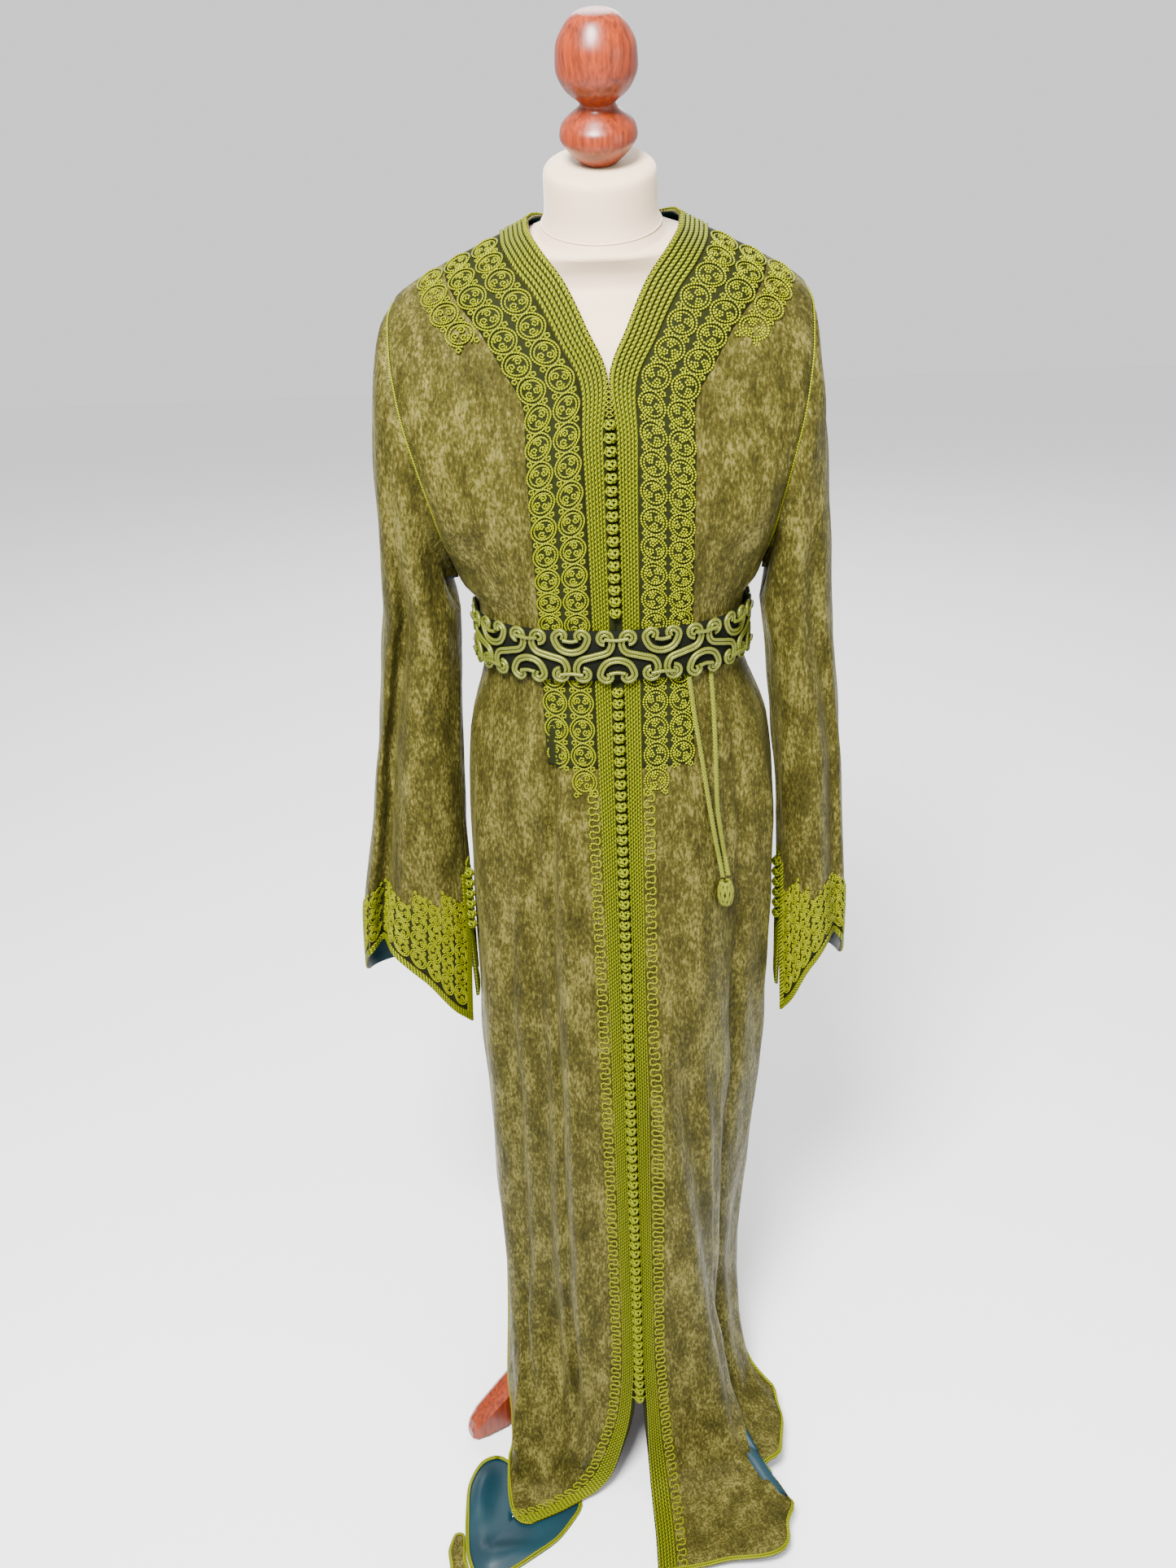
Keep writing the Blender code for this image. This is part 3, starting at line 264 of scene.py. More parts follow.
def by_height(table, name, height):
    """Read a column of a table whose first column is a falling height."""
    key = "edge_z" if "edge_z" in table else "z"
    order = np.argsort(table[key])
    return smooth(table[key][order], table[name][order], height)


def join_tables(first, second):
    return {name: np.concatenate([first[name], second[name]]) for name in first}


def back_table(side, front):
    """The back's table, with its side seam on the front's."""
    top = read_table(BACK_TOP)
    table = join_tables(top, read_table(BACK_SKIRT))
    seam = slice(len(top["square"]), len(top["square"]) + SEAM_SECTIONS)
    table["side_x"][seam] = front["side_x"][seam]
    table["side_z"][seam] = front["side_z"][seam]
    table["side_x"][seam.stop:] += BACK_SLIT_SHIFT[side]
    return table


def narrowing(side, height):
    """The share of its width that a side keeps at a height: the right is the slimmer one."""
    if side == LEFT:
        return np.ones_like(height)
    return smooth(NARROW_HEIGHTS, NARROW_SHARES, height)


PANELS = {}
for panel_side, skirt in ((RIGHT, FRONT_RIGHT_SKIRT), (LEFT, FRONT_LEFT_SKIRT)):
    PANELS[panel_side, FRONT] = join_tables(read_table(FRONT_TOP), read_table(skirt))
    PANELS[panel_side, BACK] = back_table(panel_side, PANELS[panel_side, FRONT])
BAND_TABLE = read_table(BANDS)
FOLD_TABLE = join_tables(read_table(FOLDS), read_table(FINE_FOLDS))
print("sections per panel:", {key: len(table["rows"]) for key, table in PANELS.items()})

# %% [markdown]
# A fold is a long bell-shaped rise of the cloth that wanders sideways as it falls. The
# same few rises and hollows are in the solids, so cloth and solids keep one shape. Here
# each fold also has a steeper flank on its leaning side, because velvet rolls over.

# %% Rows of a panel
def fold_push(side, face, across, height):
    """How far the folds lift the skirt out of its plain curve, and lean it sideways."""
    rise, lean = np.zeros_like(across), np.zeros_like(across)
    for row in range(len(FOLD_TABLE["side"])):
        fold = {name: column[row] for name, column in FOLD_TABLE.items()}
        if (fold["side"], fold["face"]) != (side, face):
            continue
        down = np.clip((fold["top_z"] - height) / (fold["top_z"] - fold["low_z"]), 0, 1)
        middle = fold["top_across"] + (fold["low_across"] - fold["top_across"]) * down
        bell = np.exp(-((across - middle) / (0.6 * fold["reach"])) ** 2)
        bell = bell * np.minimum(down / 0.15, 1) * np.clip((height - fold["ends"]) / FOLD_FADE, 0, 1)
        rise += bell * (fold["rise_top"] + (fold["rise_low"] - fold["rise_top"]) * down)
        lean += bell * fold["lean"] * down
    return rise, lean


def panel_curve(side, face, level, count=160):
    """One row of a panel at a level of its table: points from centre edge to side."""
    table = PANELS[side, face]
    levels = np.arange(len(table["edge_x"]))
    value = {name: float(smooth(levels, column, level)) for name, column in table.items()}
    turn = np.linspace(0, math.pi / 2, count)
    power = 2 / value["square"]
    across = np.sin(turn) ** power
    depth = np.cos(turn) ** power
    share = np.linspace(0, 1, count)
    side_x = value["side_x"] * float(narrowing(side, value["side_z"]))
    x = value["edge_x"] + (side_x - value["edge_x"]) * across
    y = value["side_y"] + (value["edge_y"] - value["side_y"]) * depth
    z = value["edge_z"] + (value["side_z"] - value["edge_z"]) * (0.5 * across + 0.5 * share)
    length = np.concatenate([[0], np.cumsum(np.hypot(np.diff(x), np.diff(y)))])
    part = length / length[-1]
    rise, lean = fold_push(side, face, part, z)
    along = np.stack([np.gradient(x, part), np.gradient(y, part)])
    along /= np.maximum(np.hypot(*along), 1e-9)
    out = np.stack([along[1], -along[0]]) * -face
    x = x + out[0] * rise + along[0] * lean
    y = y + out[1] * rise + along[1] * lean
    y = y + face * SEAM_GAP * np.clip(1.5 - np.abs(y) / 0.02, 0, 1)
    return np.stack([x * side, y, z], axis=1), length, value["edge_z"]


def point_at(curve, length, wanted):
    return np.stack([np.interp(wanted, length, curve[:, axis]) for axis in range(3)], axis=1)


def panel_levels(side, face, finer=1):
    rows = PANELS[side, face]["rows"]
    levels = []
    for number, count in enumerate(rows[:-1]):
        count = int(count) * finer
        levels += [number + step / count for step in range(count)]
    return levels + [len(rows) - 1]


def unit(vectors):
    return vectors / np.maximum(np.linalg.norm(vectors, axis=-1, keepdims=True), 1e-9)


def outward(grid):
    """Unit normals of a grid of points, for rows down and columns across."""
    return unit(np.cross(np.gradient(grid, axis=0), np.gradient(grid, axis=1)))


def panel_normals(grid, side, face):
    """Normals of a panel, squared up along its seams so that two walls meet flat."""
    normal = outward(grid) * (side * -face)
    on_centre = np.abs(grid[:, 0, 0]) < 0.001
    normal[on_centre, 0, 0] = 0
    on_side_seam = np.abs(grid[:, -1, 1]) < 0.002
    normal[on_side_seam, -1, 1] = 0
    normal[0, :, 1] = 0
    return unit(normal)


# %% [markdown]
# ## Materials
#
# Every material is a Principled shader with its patterns on object coordinates, in
# metres, so a scale of 400 means features of about 2.5 mm. Cords carry two attributes,
# `along` (metres) and `around` (turns), so that their twist follows them.

# %% Node helpers
def hex_colour(text):
    """An sRGB hex value as linear RGBA."""
    values = [int(text[place:place + 2], 16) / 255 for place in (1, 3, 5)]
    return tuple(v / 12.92 if v <= 0.04045 else ((v + 0.055) / 1.055) ** 2.4 for v in values) + (1.0,)


def add_node(tree, kind, inputs=None, **settings):
    """Add a node, set its properties, and fill or link its inputs by name or number."""
    made = tree.nodes.new(kind)
    for key, value in settings.items():
        setattr(made, key, value)
    for key, value in (inputs or {}).items():
        if isinstance(value, bpy.types.NodeSocket):
            tree.links.new(value, made.inputs[key])
        else:
            made.inputs[key].default_value = value
    return made


def new_material(name, colour, roughness, **shader_inputs):
    """A material with a Principled shader; inputs are named with _ for a space."""
    made = bpy.data.materials.new(name)
    made.use_nodes = True
    made.diffuse_color = hex_colour(colour)
    shader = made.node_tree.nodes["Principled BSDF"]
    shader.inputs["Base Color"].default_value = hex_colour(colour)
    shader.inputs["Roughness"].default_value = roughness
    for key, value in shader_inputs.items():
        shader.inputs[key.replace("_", " ")].default_value = value
    return made, made.node_tree, shader


# %% [markdown]
# ### Crushed panne velvet
#
# Panne is a rayon velvet whose pile is pressed flat in patches that lie in different
# directions. A patch that leans towards the light looks pale gold, one that leans away
# dark olive; here that sheen and shade are painted into the base colour as fixed patches,
# mixed with the pile's own random tone. Clouds of about 20 mm, drawn out down the cloth,
# and a grain of 2 to 3 mm are mixed for colour and roughness, and the grain and a crush
# of 10 mm are raised as bump.

# %% Velvet
def make_velvet(name, dark, middle, pale_sheen):
    made, tree, shader = new_material(name, middle, 0.5, Sheen_Weight=0.05, Sheen_Roughness=0.30,
                                      Sheen_Tint=hex_colour("#d6cf8a"), Specular_IOR_Level=0.10,
                                      Specular_Tint=hex_colour("#f2e9b0"))
    place = add_node(tree, "ShaderNodeTexCoord").outputs["Object"]
    hung = add_node(tree, "ShaderNodeMapping", {"Vector": place, "Scale": (1.0, 1.0, 0.42)}).outputs[0]
    clouds, grain, crush = (
        add_node(tree, "ShaderNodeTexNoise",
                 {"Vector": hung, "Scale": scale, "Detail": detail, "Roughness": fine})
        for scale, detail, fine in ((52.0, 6.0, 0.66), (420.0, 3.0, 0.7), (95.0, 3.0, 0.55)))
    patches = add_node(tree, "ShaderNodeMath", {0: clouds.outputs["Fac"], 1: 0.46}, operation="MULTIPLY")
    mixed = add_node(tree, "ShaderNodeMath", {0: grain.outputs["Fac"], 1: 0.54, 2: patches.outputs[0]},
                     operation="MULTIPLY_ADD")
    crushed = add_node(tree, "ShaderNodeMapRange", {"Value": mixed.outputs[0], "From Min": 0.32,
                                                      "From Max": 0.72}, interpolation_type="SMOOTHSTEP")
    # Colour ramp: the dark end is painted shade and the pale end painted sheen of the pile, over its random
    # crushed tone.
    ramp = add_node(tree, "ShaderNodeValToRGB", {"Fac": crushed.outputs[0]})
    ramp.color_ramp.elements[0].color = hex_colour(dark)
    ramp.color_ramp.elements[1].color = hex_colour(pale_sheen)
    ramp.color_ramp.elements.new(0.45).color = hex_colour(middle)
    rough = add_node(tree, "ShaderNodeMapRange",
                     {"Value": crushed.outputs[0], "To Min": 0.56, "To Max": 0.34})
    pile = add_node(tree, "ShaderNodeBump",
                    {"Height": grain.outputs["Fac"], "Strength": 0.75, "Distance": 0.0011})
    bump = add_node(tree, "ShaderNodeBump", {"Height": crush.outputs["Fac"], "Normal": pile.outputs[0],
                                             "Strength": 0.6, "Distance": 0.0045})
    tree.links.new(ramp.outputs["Color"], shader.inputs["Base Color"])
    tree.links.new(rough.outputs[0], shader.inputs["Roughness"])
    tree.links.new(bump.outputs[0], shader.inputs["Normal"])
    return made


# Colours: dark (painted shade), middle (body), pale (painted sheen).
velvet = make_velvet("crushed_panne_velvet", "#1c1a07", "#383411", "#6a6434")
print("velvet ready")

# %% [markdown]
# ### Silk cords and braids
#
# All the trimming is rayon silk: a twisted cord for the scrolls, a flat plait for the
# sfifa, a smooth wrapped cord for the belt. One function makes them: a wave along and
# around the cord dents the grooves between strands, and paints shade into them and a
# highlight on the strands' crowns.

# %% Cord materials
def make_cord_material(name, groove_shade, body, light, pitch, turns, roughness, depth, plait=False, shine=0.2):
    made, tree, shader = new_material(name, body, roughness, Specular_IOR_Level=shine,
                                      Specular_Tint=hex_colour("#f4f2a0"))
    along = add_node(tree, "ShaderNodeAttribute", attribute_name="along").outputs["Fac"]
    around = add_node(tree, "ShaderNodeAttribute", attribute_name="around").outputs["Fac"]
    if plait:
        off = add_node(tree, "ShaderNodeMath", {0: around, 1: 0.5}, operation="SUBTRACT")
        around = add_node(tree, "ShaderNodeMath", {0: off.outputs[0]}, operation="ABSOLUTE").outputs[0]
    lengthwise = add_node(tree, "ShaderNodeMath", {0: along, 1: 2 * math.pi / pitch}, operation="MULTIPLY")
    sidewise = add_node(tree, "ShaderNodeMath", {0: around, 1: 2 * math.pi * turns, 2: lengthwise.outputs[0]},
                        operation="MULTIPLY_ADD")
    wave = add_node(tree, "ShaderNodeMath", {0: sidewise.outputs[0]}, operation="SINE")
    ridge = add_node(tree, "ShaderNodeMapRange",
                     {"Value": wave.outputs[0], "From Min": -1.0, "From Max": 0.6})
    # The ramp runs from painted shade in the grooves through the body colour to a painted highlight on the
    # crowns.
    ramp = add_node(tree, "ShaderNodeValToRGB", {"Fac": ridge.outputs[0]})
    ramp.color_ramp.elements[0].color = hex_colour(groove_shade)
    ramp.color_ramp.elements[1].color = hex_colour(light)
    ramp.color_ramp.elements.new(0.45).color = hex_colour(body)
    bump = add_node(tree, "ShaderNodeBump", {"Height": ridge.outputs[0], "Strength": 0.8, "Distance": depth})
    tree.links.new(ramp.outputs["Color"], shader.inputs["Base Color"])
    tree.links.new(bump.outputs[0], shader.inputs["Normal"])
    return made


# Colours of each cord: painted groove shade, body, painted crown highlight.
scroll_cord = make_cord_material("couched_silk_cord", "#121400", "#525702", "#8c9206",
                                 0.0026, 2, 0.45, 0.0004)
braid_plait = make_cord_material("sfifa_plait", "#0a0c00", "#414702", "#757c05",
                                 0.0044, 2, 0.5, 0.0006, plait=True)
knot_cord = make_cord_material("aakad_silk", "#0a0c00", "#464c04", "#8a920f",
                               0.0024, 3, 0.42, 0.0004)
satin_cord = make_cord_material("wrapped_satin_cord", "#2e320c", "#454a14", "#5d6320",
                                0.0016, 0, 0.26, 0.0001, shine=0.8)
rope_cord = make_cord_material("twisted_rope_silk", "#17190a", "#4c5014", "#7f842a",
                               0.0016, 2, 0.35, 0.0002)
print("cord materials ready")

# %% [markdown]
# ### Lining, jersey, net and mahogany

# %% Plain materials
def add_weave(tree, shader, scale, strength, distance):
    """A fine fabric grain as bump, on object coordinates."""
    place = add_node(tree, "ShaderNodeTexCoord").outputs["Object"]
    grain = add_node(tree, "ShaderNodeTexNoise", {"Vector": place, "Scale": scale, "Detail": 2.0})
    bump = add_node(tree, "ShaderNodeBump",
                    {"Height": grain.outputs["Fac"], "Strength": strength, "Distance": distance})
    tree.links.new(bump.outputs[0], shader.inputs["Normal"])
    return place, grain


def tint_by_noise(tree, shader, place, scale, colours, detail=4.0, roughness=0.5):
    """Base colour between two colours by a soft noise."""
    cloud = add_node(tree, "ShaderNodeTexNoise",
                     {"Vector": place, "Scale": scale, "Detail": detail, "Roughness": roughness})
    spread = add_node(tree, "ShaderNodeMapRange",
                      {"Value": cloud.outputs["Fac"], "From Min": 0.3, "From Max": 0.7})
    ramp = add_node(tree, "ShaderNodeValToRGB", {"Fac": spread.outputs[0]})
    ramp.color_ramp.elements[0].color = hex_colour(colours[0])
    ramp.color_ramp.elements[1].color = hex_colour(colours[1])
    tree.links.new(ramp.outputs["Color"], shader.inputs["Base Color"])


lining, tree, shader = new_material("teal_satin_lining", "#08262e", 0.42, Specular_IOR_Level=0.3)
place, _ = add_weave(tree, shader, 900.0, 0.3, 0.0003)
tint_by_noise(tree, shader, place, 12.0, ("#06202a", "#0a2e36"))

jersey, tree, shader = new_material("cotton_jersey", "#d9c4aa", 0.85, Sheen_Weight=0.25)
place, _ = add_weave(tree, shader, 1300.0, 0.35, 0.0003)
tint_by_noise(tree, shader, place, 9.0, ("#c9b08f", "#d0b99b"))

net, tree, shader = new_material("dark_net_ground", "#0a0c05", 0.85, Specular_IOR_Level=0.08)
add_weave(tree, shader, 600.0, 0.8, 0.0006)

# A near-black cloth under the sfifa, scrolls, cuffs and knots: painted shade between and under the cords.
shade_ground, tree, shader = new_material("painted_shade_under_cords", "#171a04", 0.8, Specular_IOR_Level=0.08)
add_weave(tree, shader, 700.0, 0.6, 0.0004)


def make_mahogany():
    """Varnished mahogany: red-brown, with long fine grain under a clear gloss."""
    made, tree, shader = new_material("varnished_mahogany", "#8e3516", 0.38, Coat_Weight=0.15,
                                      Coat_Roughness=0.2, Specular_IOR_Level=0.3)
    place = add_node(tree, "ShaderNodeTexCoord").outputs["Object"]
    drawn = add_node(tree, "ShaderNodeMapping", {"Vector": place, "Scale": (1.0, 1.0, 0.08)}).outputs[0]
    tint_by_noise(tree, shader, drawn, 260.0, ("#451302", "#862f07"), 6.0, 0.6)
    return made


mahogany = make_mahogany()

# %% [markdown]
# ## Mesh helpers
#
# A cloth piece is two grids of points, an outer and an inner face, joined along its
# edges. The inner face carries the lining.

# %% Mesh helpers
def add_piece(name, points, faces, materials, material_index=None):
    """A smooth mesh object at the origin, riding on the one body of the frame."""
    mesh = bpy.data.meshes.new(name)
    mesh.from_pydata((np.asarray(points) + SHIFT).tolist(), [], faces)
    for item in materials:
        mesh.materials.append(item)
    if material_index is not None:
        mesh.polygons.foreach_set("material_index", material_index)
    mesh.shade_smooth()
    made = bpy.data.objects.new(name, mesh)
    bpy.context.scene.collection.objects.link(made)
    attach(made, "root")
    return made


def grid_faces(rows, columns, start=0, closed=False):
    """Quads over a grid of points."""
    wrap = columns if closed else columns - 1
    row, column = np.meshgrid(np.arange(rows - 1), np.arange(wrap), indexing="ij")
    after = (column + 1) % columns
    low = start + row * columns
    corners = [low + column, low + columns + column, low + columns + after, low + after]
    return np.stack(corners, axis=-1).reshape(-1, 4)


def volume_sign(points, faces):
    corners = np.asarray(points)[np.asarray(faces)]
    return np.sign(np.einsum("ij,ij->", corners[:, 0], np.cross(corners[:, 1], corners[:, 2]))
                   + np.einsum("ij,ij->", corners[:, 0], np.cross(corners[:, 2], corners[:, 3])))


def cloth_wall(name, outer, inner, materials, closed=False):
    """A wall of cloth between two grids; materials are (outer face, inner face)."""
    rows, columns = outer.shape[:2]
    total = rows * columns
    points = np.concatenate([outer.reshape(-1, 3), inner.reshape(-1, 3)])
    points[:, 2] = np.maximum(points[:, 2], 0.0)
    front = grid_faces(rows, columns, 0, closed)
    back = grid_faces(rows, columns, total, closed)[:, ::-1]
    rims = []
    column = np.arange(columns if closed else columns - 1)
    after = (column + 1) % columns
    last = (rows - 1) * columns
    rims.append(np.stack([column, after, total + after, total + column], axis=1))
    rims.append(np.stack([last + after, last + column, total + last + column, total + last + after], axis=1))
    if not closed:
        row = np.arange(rows - 1) * columns
        end = columns - 1
        under = total + row
        rims.append(np.stack([row + columns, row, under, under + columns], axis=1))
        rims.append(np.stack([row + end, row + columns + end, under + columns + end, under + end], axis=1))
    faces = np.concatenate([front, back] + rims)
    if volume_sign(points, faces) < 0:
        faces = faces[:, ::-1]
    index = np.zeros(len(faces), dtype=np.int32)
    index[len(front):len(front) + len(back)] = len(materials) - 1
    return add_piece(name, points, faces.tolist(), materials, index)


def loft(name, grid, material):
    """A closed body through rings of points, with a flat fan at both ends."""
    rows, columns = grid.shape[:2]
    points = grid.reshape(-1, 3)
    faces = grid_faces(rows, columns, closed=True)
    if volume_sign(points, faces) < 0:
        faces = faces[:, ::-1]
        ends = [tuple(reversed(range(columns))), tuple(range((rows - 1) * columns, rows * columns))]
    else:
        ends = [tuple(range(columns)), tuple(reversed(range((rows - 1) * columns, rows * columns)))]
    return add_piece(name, points, faces.tolist() + ends, [material])


# %% [markdown]
# ### Sweeping cords with Geometry Nodes
#
# A cord is drawn as a chain of edges whose points know which way is out of the cloth.
# The node tree turns chains into curves, stands their normals on that direction, notes
# the length run so far as `along` and the place round the section as `around`, and
# sweeps a circle along them.

# %% The cord tree
def make_cord_tree():
    tree = bpy.data.node_groups.new("sweep_cord", "GeometryNodeTree")
    face = tree.interface
    face.new_socket("Geometry", in_out="INPUT", socket_type="NodeSocketGeometry")
    face.new_socket("Radius", in_out="INPUT", socket_type="NodeSocketFloat")
    face.new_socket("Sides", in_out="INPUT", socket_type="NodeSocketInt")
    face.new_socket("Finish", in_out="INPUT", socket_type="NodeSocketMaterial")
    face.new_socket("Geometry", in_out="OUTPUT", socket_type="NodeSocketGeometry")
    given = tree.nodes.new("NodeGroupInput")
    lift = add_node(tree, "GeometryNodeInputNamedAttribute", {"Name": "lift"}, data_type="FLOAT_VECTOR")
    thick = add_node(tree, "GeometryNodeInputNamedAttribute", {"Name": "thick"}, data_type="FLOAT")
    curve = add_node(tree, "GeometryNodeMeshToCurve", {"Mesh": given.outputs["Geometry"]})
    stood = add_node(tree, "GeometryNodeSetCurveNormal",
                     {"Curve": curve.outputs[0], "Normal": lift.outputs[0]}, mode="FREE")
    spline = add_node(tree, "GeometryNodeSplineParameter")
    noted = add_node(tree, "GeometryNodeStoreNamedAttribute",
                     {"Geometry": stood.outputs[0], "Name": "along", "Value": spline.outputs["Length"]},
                     data_type="FLOAT", domain="POINT")
    circle = add_node(tree, "GeometryNodeCurvePrimitiveCircle",
                      {"Resolution": given.outputs["Sides"], "Radius": 1.0}, mode="RADIUS")
    turned = add_node(tree, "GeometryNodeStoreNamedAttribute",
                      {"Geometry": circle.outputs[0], "Name": "around", "Value": spline.outputs["Factor"]},
                      data_type="FLOAT", domain="POINT")
    size = add_node(tree, "ShaderNodeMath", {0: given.outputs["Radius"], 1: thick.outputs[0]},
                    operation="MULTIPLY")
    swept = add_node(tree, "GeometryNodeCurveToMesh",
                     {"Curve": noted.outputs[0], "Profile Curve": turned.outputs[0], "Scale": size.outputs[0],
                      "Fill Caps": True})
    smoothed = add_node(tree, "GeometryNodeSetShadeSmooth", {"Geometry": swept.outputs[0]})
    real = add_node(tree, "GeometryNodeRealizeInstances", {"Geometry": smoothed.outputs[0]})
    done = add_node(tree, "GeometryNodeSetMaterial",
                    {"Geometry": real.outputs[0], "Material": given.outputs["Finish"]})
    add_node(tree, "NodeGroupOutput", {"Geometry": done.outputs[0]})
    return tree


cord_tree = make_cord_tree()


def run_tree(source, name, tree, values, materials):
    """Evaluate a node tree on an object and keep the result as a plain mesh object."""
    modifier = source.modifiers.new("tree", "NODES")
    modifier.node_group = tree
    for item in tree.interface.items_tree:
        if item.in_out == "INPUT" and item.name in values:
            modifier[item.identifier] = values[item.name]
    evaluated = source.evaluated_get(bpy.context.evaluated_depsgraph_get())
    mesh = bpy.data.meshes.new_from_object(evaluated)
    source.modifiers.remove(modifier)
    bpy.data.objects.remove(source, do_unlink=True)
    mesh.name = name
    if not mesh.materials:
        for item in materials:
            mesh.materials.append(item)
    made = bpy.data.objects.new(name, mesh)
    bpy.context.scene.collection.objects.link(made)
    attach(made, "root")
    return made


def point_object(name, points, edges, vectors=None, floats=None):
    """A helper object of loose points or chains with attributes, in the frame's place."""
    mesh = bpy.data.meshes.new(name)
    mesh.from_pydata((np.asarray(points) + SHIFT).tolist(), edges, [])
    for key, values in (vectors or {}).items():
        mesh.attributes.new(key, "FLOAT_VECTOR", "POINT").data.foreach_set("vector", np.ravel(values))
    for key, values in (floats or {}).items():
        mesh.attributes.new(key, "FLOAT", "POINT").data.foreach_set("value", np.ravel(values))
    made = bpy.data.objects.new(name, mesh)
    bpy.context.scene.collection.objects.link(made)
    return made


def sweep_cords(name, chains, radius, material, sides=6):
    """Cords along chains. A chain is (points, lifts, closed) or has a fourth, thickness."""
    points, lifts, thick, edges, start = [], [], [], [], 0
    for chain in chains:
        path, lift, closed = chain[:3]
        count = len(path)
        points.append(path)
        lifts.append(lift)
        thick.append(chain[3] if len(chain) > 3 else np.ones(count))
        edges += [(start + i, start + i + 1) for i in range(count - 1)]
        if closed:
            edges.append((start + count - 1, start))
        start += count
    source = point_object(name + "_path", np.concatenate(points), edges,
                          {"lift": np.concatenate(lifts)}, {"thick": np.concatenate(thick)})
    made = run_tree(source, name, cord_tree, {"Radius": radius, "Sides": sides, "Finish": material},
                    [material])
    print(f"{name}: {len(chains)} cords, {len(made.data.polygons)} faces")
    return made


# %% [markdown]
# ## The velvet panels
#
# Each panel of the solids is made again with many more rows and columns. Small creases,
# longer down the cloth than across it, are added on top: velvet on a form always has
# them, and they break the light. They fade out at the seams so that neighbours meet.

# %% Panels
FINER = 5
PANEL_COLUMNS = 60
PANEL_NAMES = {(RIGHT, FRONT): "front_right", (LEFT, FRONT): "front_left",
               (RIGHT, BACK): "back_right", (LEFT, BACK): "back_left"}


def creases(grid, seed, height=0.0035):
    """Small soft creases, as a push along the normal for each point of a grid."""
    rows, columns = grid.shape[:2]
    push = np.empty((rows, columns))
    for row in range(rows):
        for column in range(columns):
            x, y, z = grid[row, column]
            spot = Vector((x * 26 + seed, y * 26, z * 7))
            push[row, column] = noise.noise(spot) + 0.5 * noise.noise(spot * 2.3)
    return push * height


def fade_edges(rows, columns, reach=0.12):
    across = np.linspace(0, 1, columns)
    down = np.linspace(0, 1, rows)
    wide = np.clip(across / reach, 0, 1) * np.clip((1 - across) / reach, 0, 1)
    return np.clip(down / 0.04, 0, 1)[:, None] * np.clip((1 - down) / 0.04, 0, 1)[:, None] * wide[None, :]


def panel_grid(side, face):
    rows = []
    for level in panel_levels(side, face, FINER):
        curve, length, _ = panel_curve(side, face, level)
        rows.append(point_at(curve, length, np.linspace(0, length[-1], PANEL_COLUMNS)))
    return np.array(rows)


def belt_calm(grid):
    """0 under the belt, 1 well away from it."""
    return np.clip((np.abs(grid[..., 2] - 1.034) - 0.035) / 0.06, 0, 1)


def work_calm(grid, face):
    """0 under the braid and the scrolls of a front, 1 well away from them."""
    if face == BACK:
        return np.ones(grid.shape[:2])
    steps = np.linalg.norm(np.diff(grid, axis=1), axis=2)
    from_edge = np.concatenate([np.zeros((len(grid), 1)), np.cumsum(steps, axis=1)], axis=1)
    covered = sum(by_height(BAND_TABLE, name, grid[:, 0, 2]) for name in ("strip", "braid", "work"))
    return np.clip((from_edge - covered[:, None] - 0.004) / 0.03, 0, 1)


for number, (key, node_name) in enumerate(PANEL_NAMES.items()):
    grid = panel_grid(*key)
    normal = panel_normals(grid, *key)
    calm = fade_edges(*grid.shape[:2]) * belt_calm(grid) * work_calm(grid, key[1])
    grid = grid + normal * (creases(grid, 3.7 * number) * calm)[..., None]
    normal = panel_normals(grid, *key)
    piece = cloth_wall("velvet_" + node_name, grid, grid - normal * CLOTH, [velvet, lining])
    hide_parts(node_name)

# %% [markdown]
# ## A map of each front
#
# Braid, scrolls and knots are sewn on the fronts, so they are drawn in the cloth's own
# measure: metres down its edge and metres across from it. A map turns such a place into
# a point of the cloth and the direction out of it.

# %% Cloth maps
MAP_STEP = 0.002
MAP_WIDE = 0.130


def panel_map(side, face=FRONT):
    across = np.arange(0, MAP_WIDE, MAP_STEP)
    grid, heights = [], []
    for level in panel_levels(side, face, 8):
        curve, length, height = panel_curve(side, face, level)
        grid.append(point_at(curve, length, across))
        heights.append(height)
    grid = np.array(grid)
    edge = np.linalg.norm(np.diff(grid[:, 6], axis=0), axis=1)
    down = np.concatenate([[0], np.cumsum(edge)])
    return {"down": down, "across": across, "points": grid, "normals": panel_normals(grid, side, face),
            "height": np.array(heights), "side": side}


def on_cloth(cloth, down, across, lift):
    """Points and outward directions at places on a cloth map, raised by lift."""
    down, across = np.broadcast_arrays(np.asarray(down, float), np.asarray(across, float))
    row = np.interp(down, cloth["down"], np.arange(len(cloth["down"])))
    column = np.interp(across, cloth["across"], np.arange(len(cloth["across"])))
    low_row = np.minimum(row.astype(int), len(cloth["down"]) - 2)
    low_column = np.minimum(column.astype(int), len(cloth["across"]) - 2)
    f, g = (row - low_row)[:, None], (column - low_column)[:, None]
    result = []
    for key in ("points", "normals"):
        grid = cloth[key]
        value = (grid[low_row, low_column] * (1 - f) * (1 - g) + grid[low_row + 1, low_column] * f * (1 - g)
                 + grid[low_row, low_column + 1] * (1 - f) * g + grid[low_row + 1, low_column + 1] * f * g)
        result.append(value)
    normal = unit(result[1])
    return result[0] + normal * np.broadcast_to(np.asarray(lift, float), down.shape)[:, None], normal


def down_at(cloth, height):
    """The distance down the edge at which it has a height."""
    return float(np.interp(-height, -cloth["height"], cloth["down"]))


def bands_at(cloth, down):
    """Widths of strip, braid and work at distances down the edge."""
    height = np.interp(down, cloth["down"], cloth["height"])
    return [by_height(BAND_TABLE, name, height) for name in ("strip", "braid", "work")]


MAPS = {side: panel_map(side) for side, _ in SIDES}
for side, word in SIDES:
    print(f"front {word}: edge {MAPS[side]['down'][-1]:.3f} m")

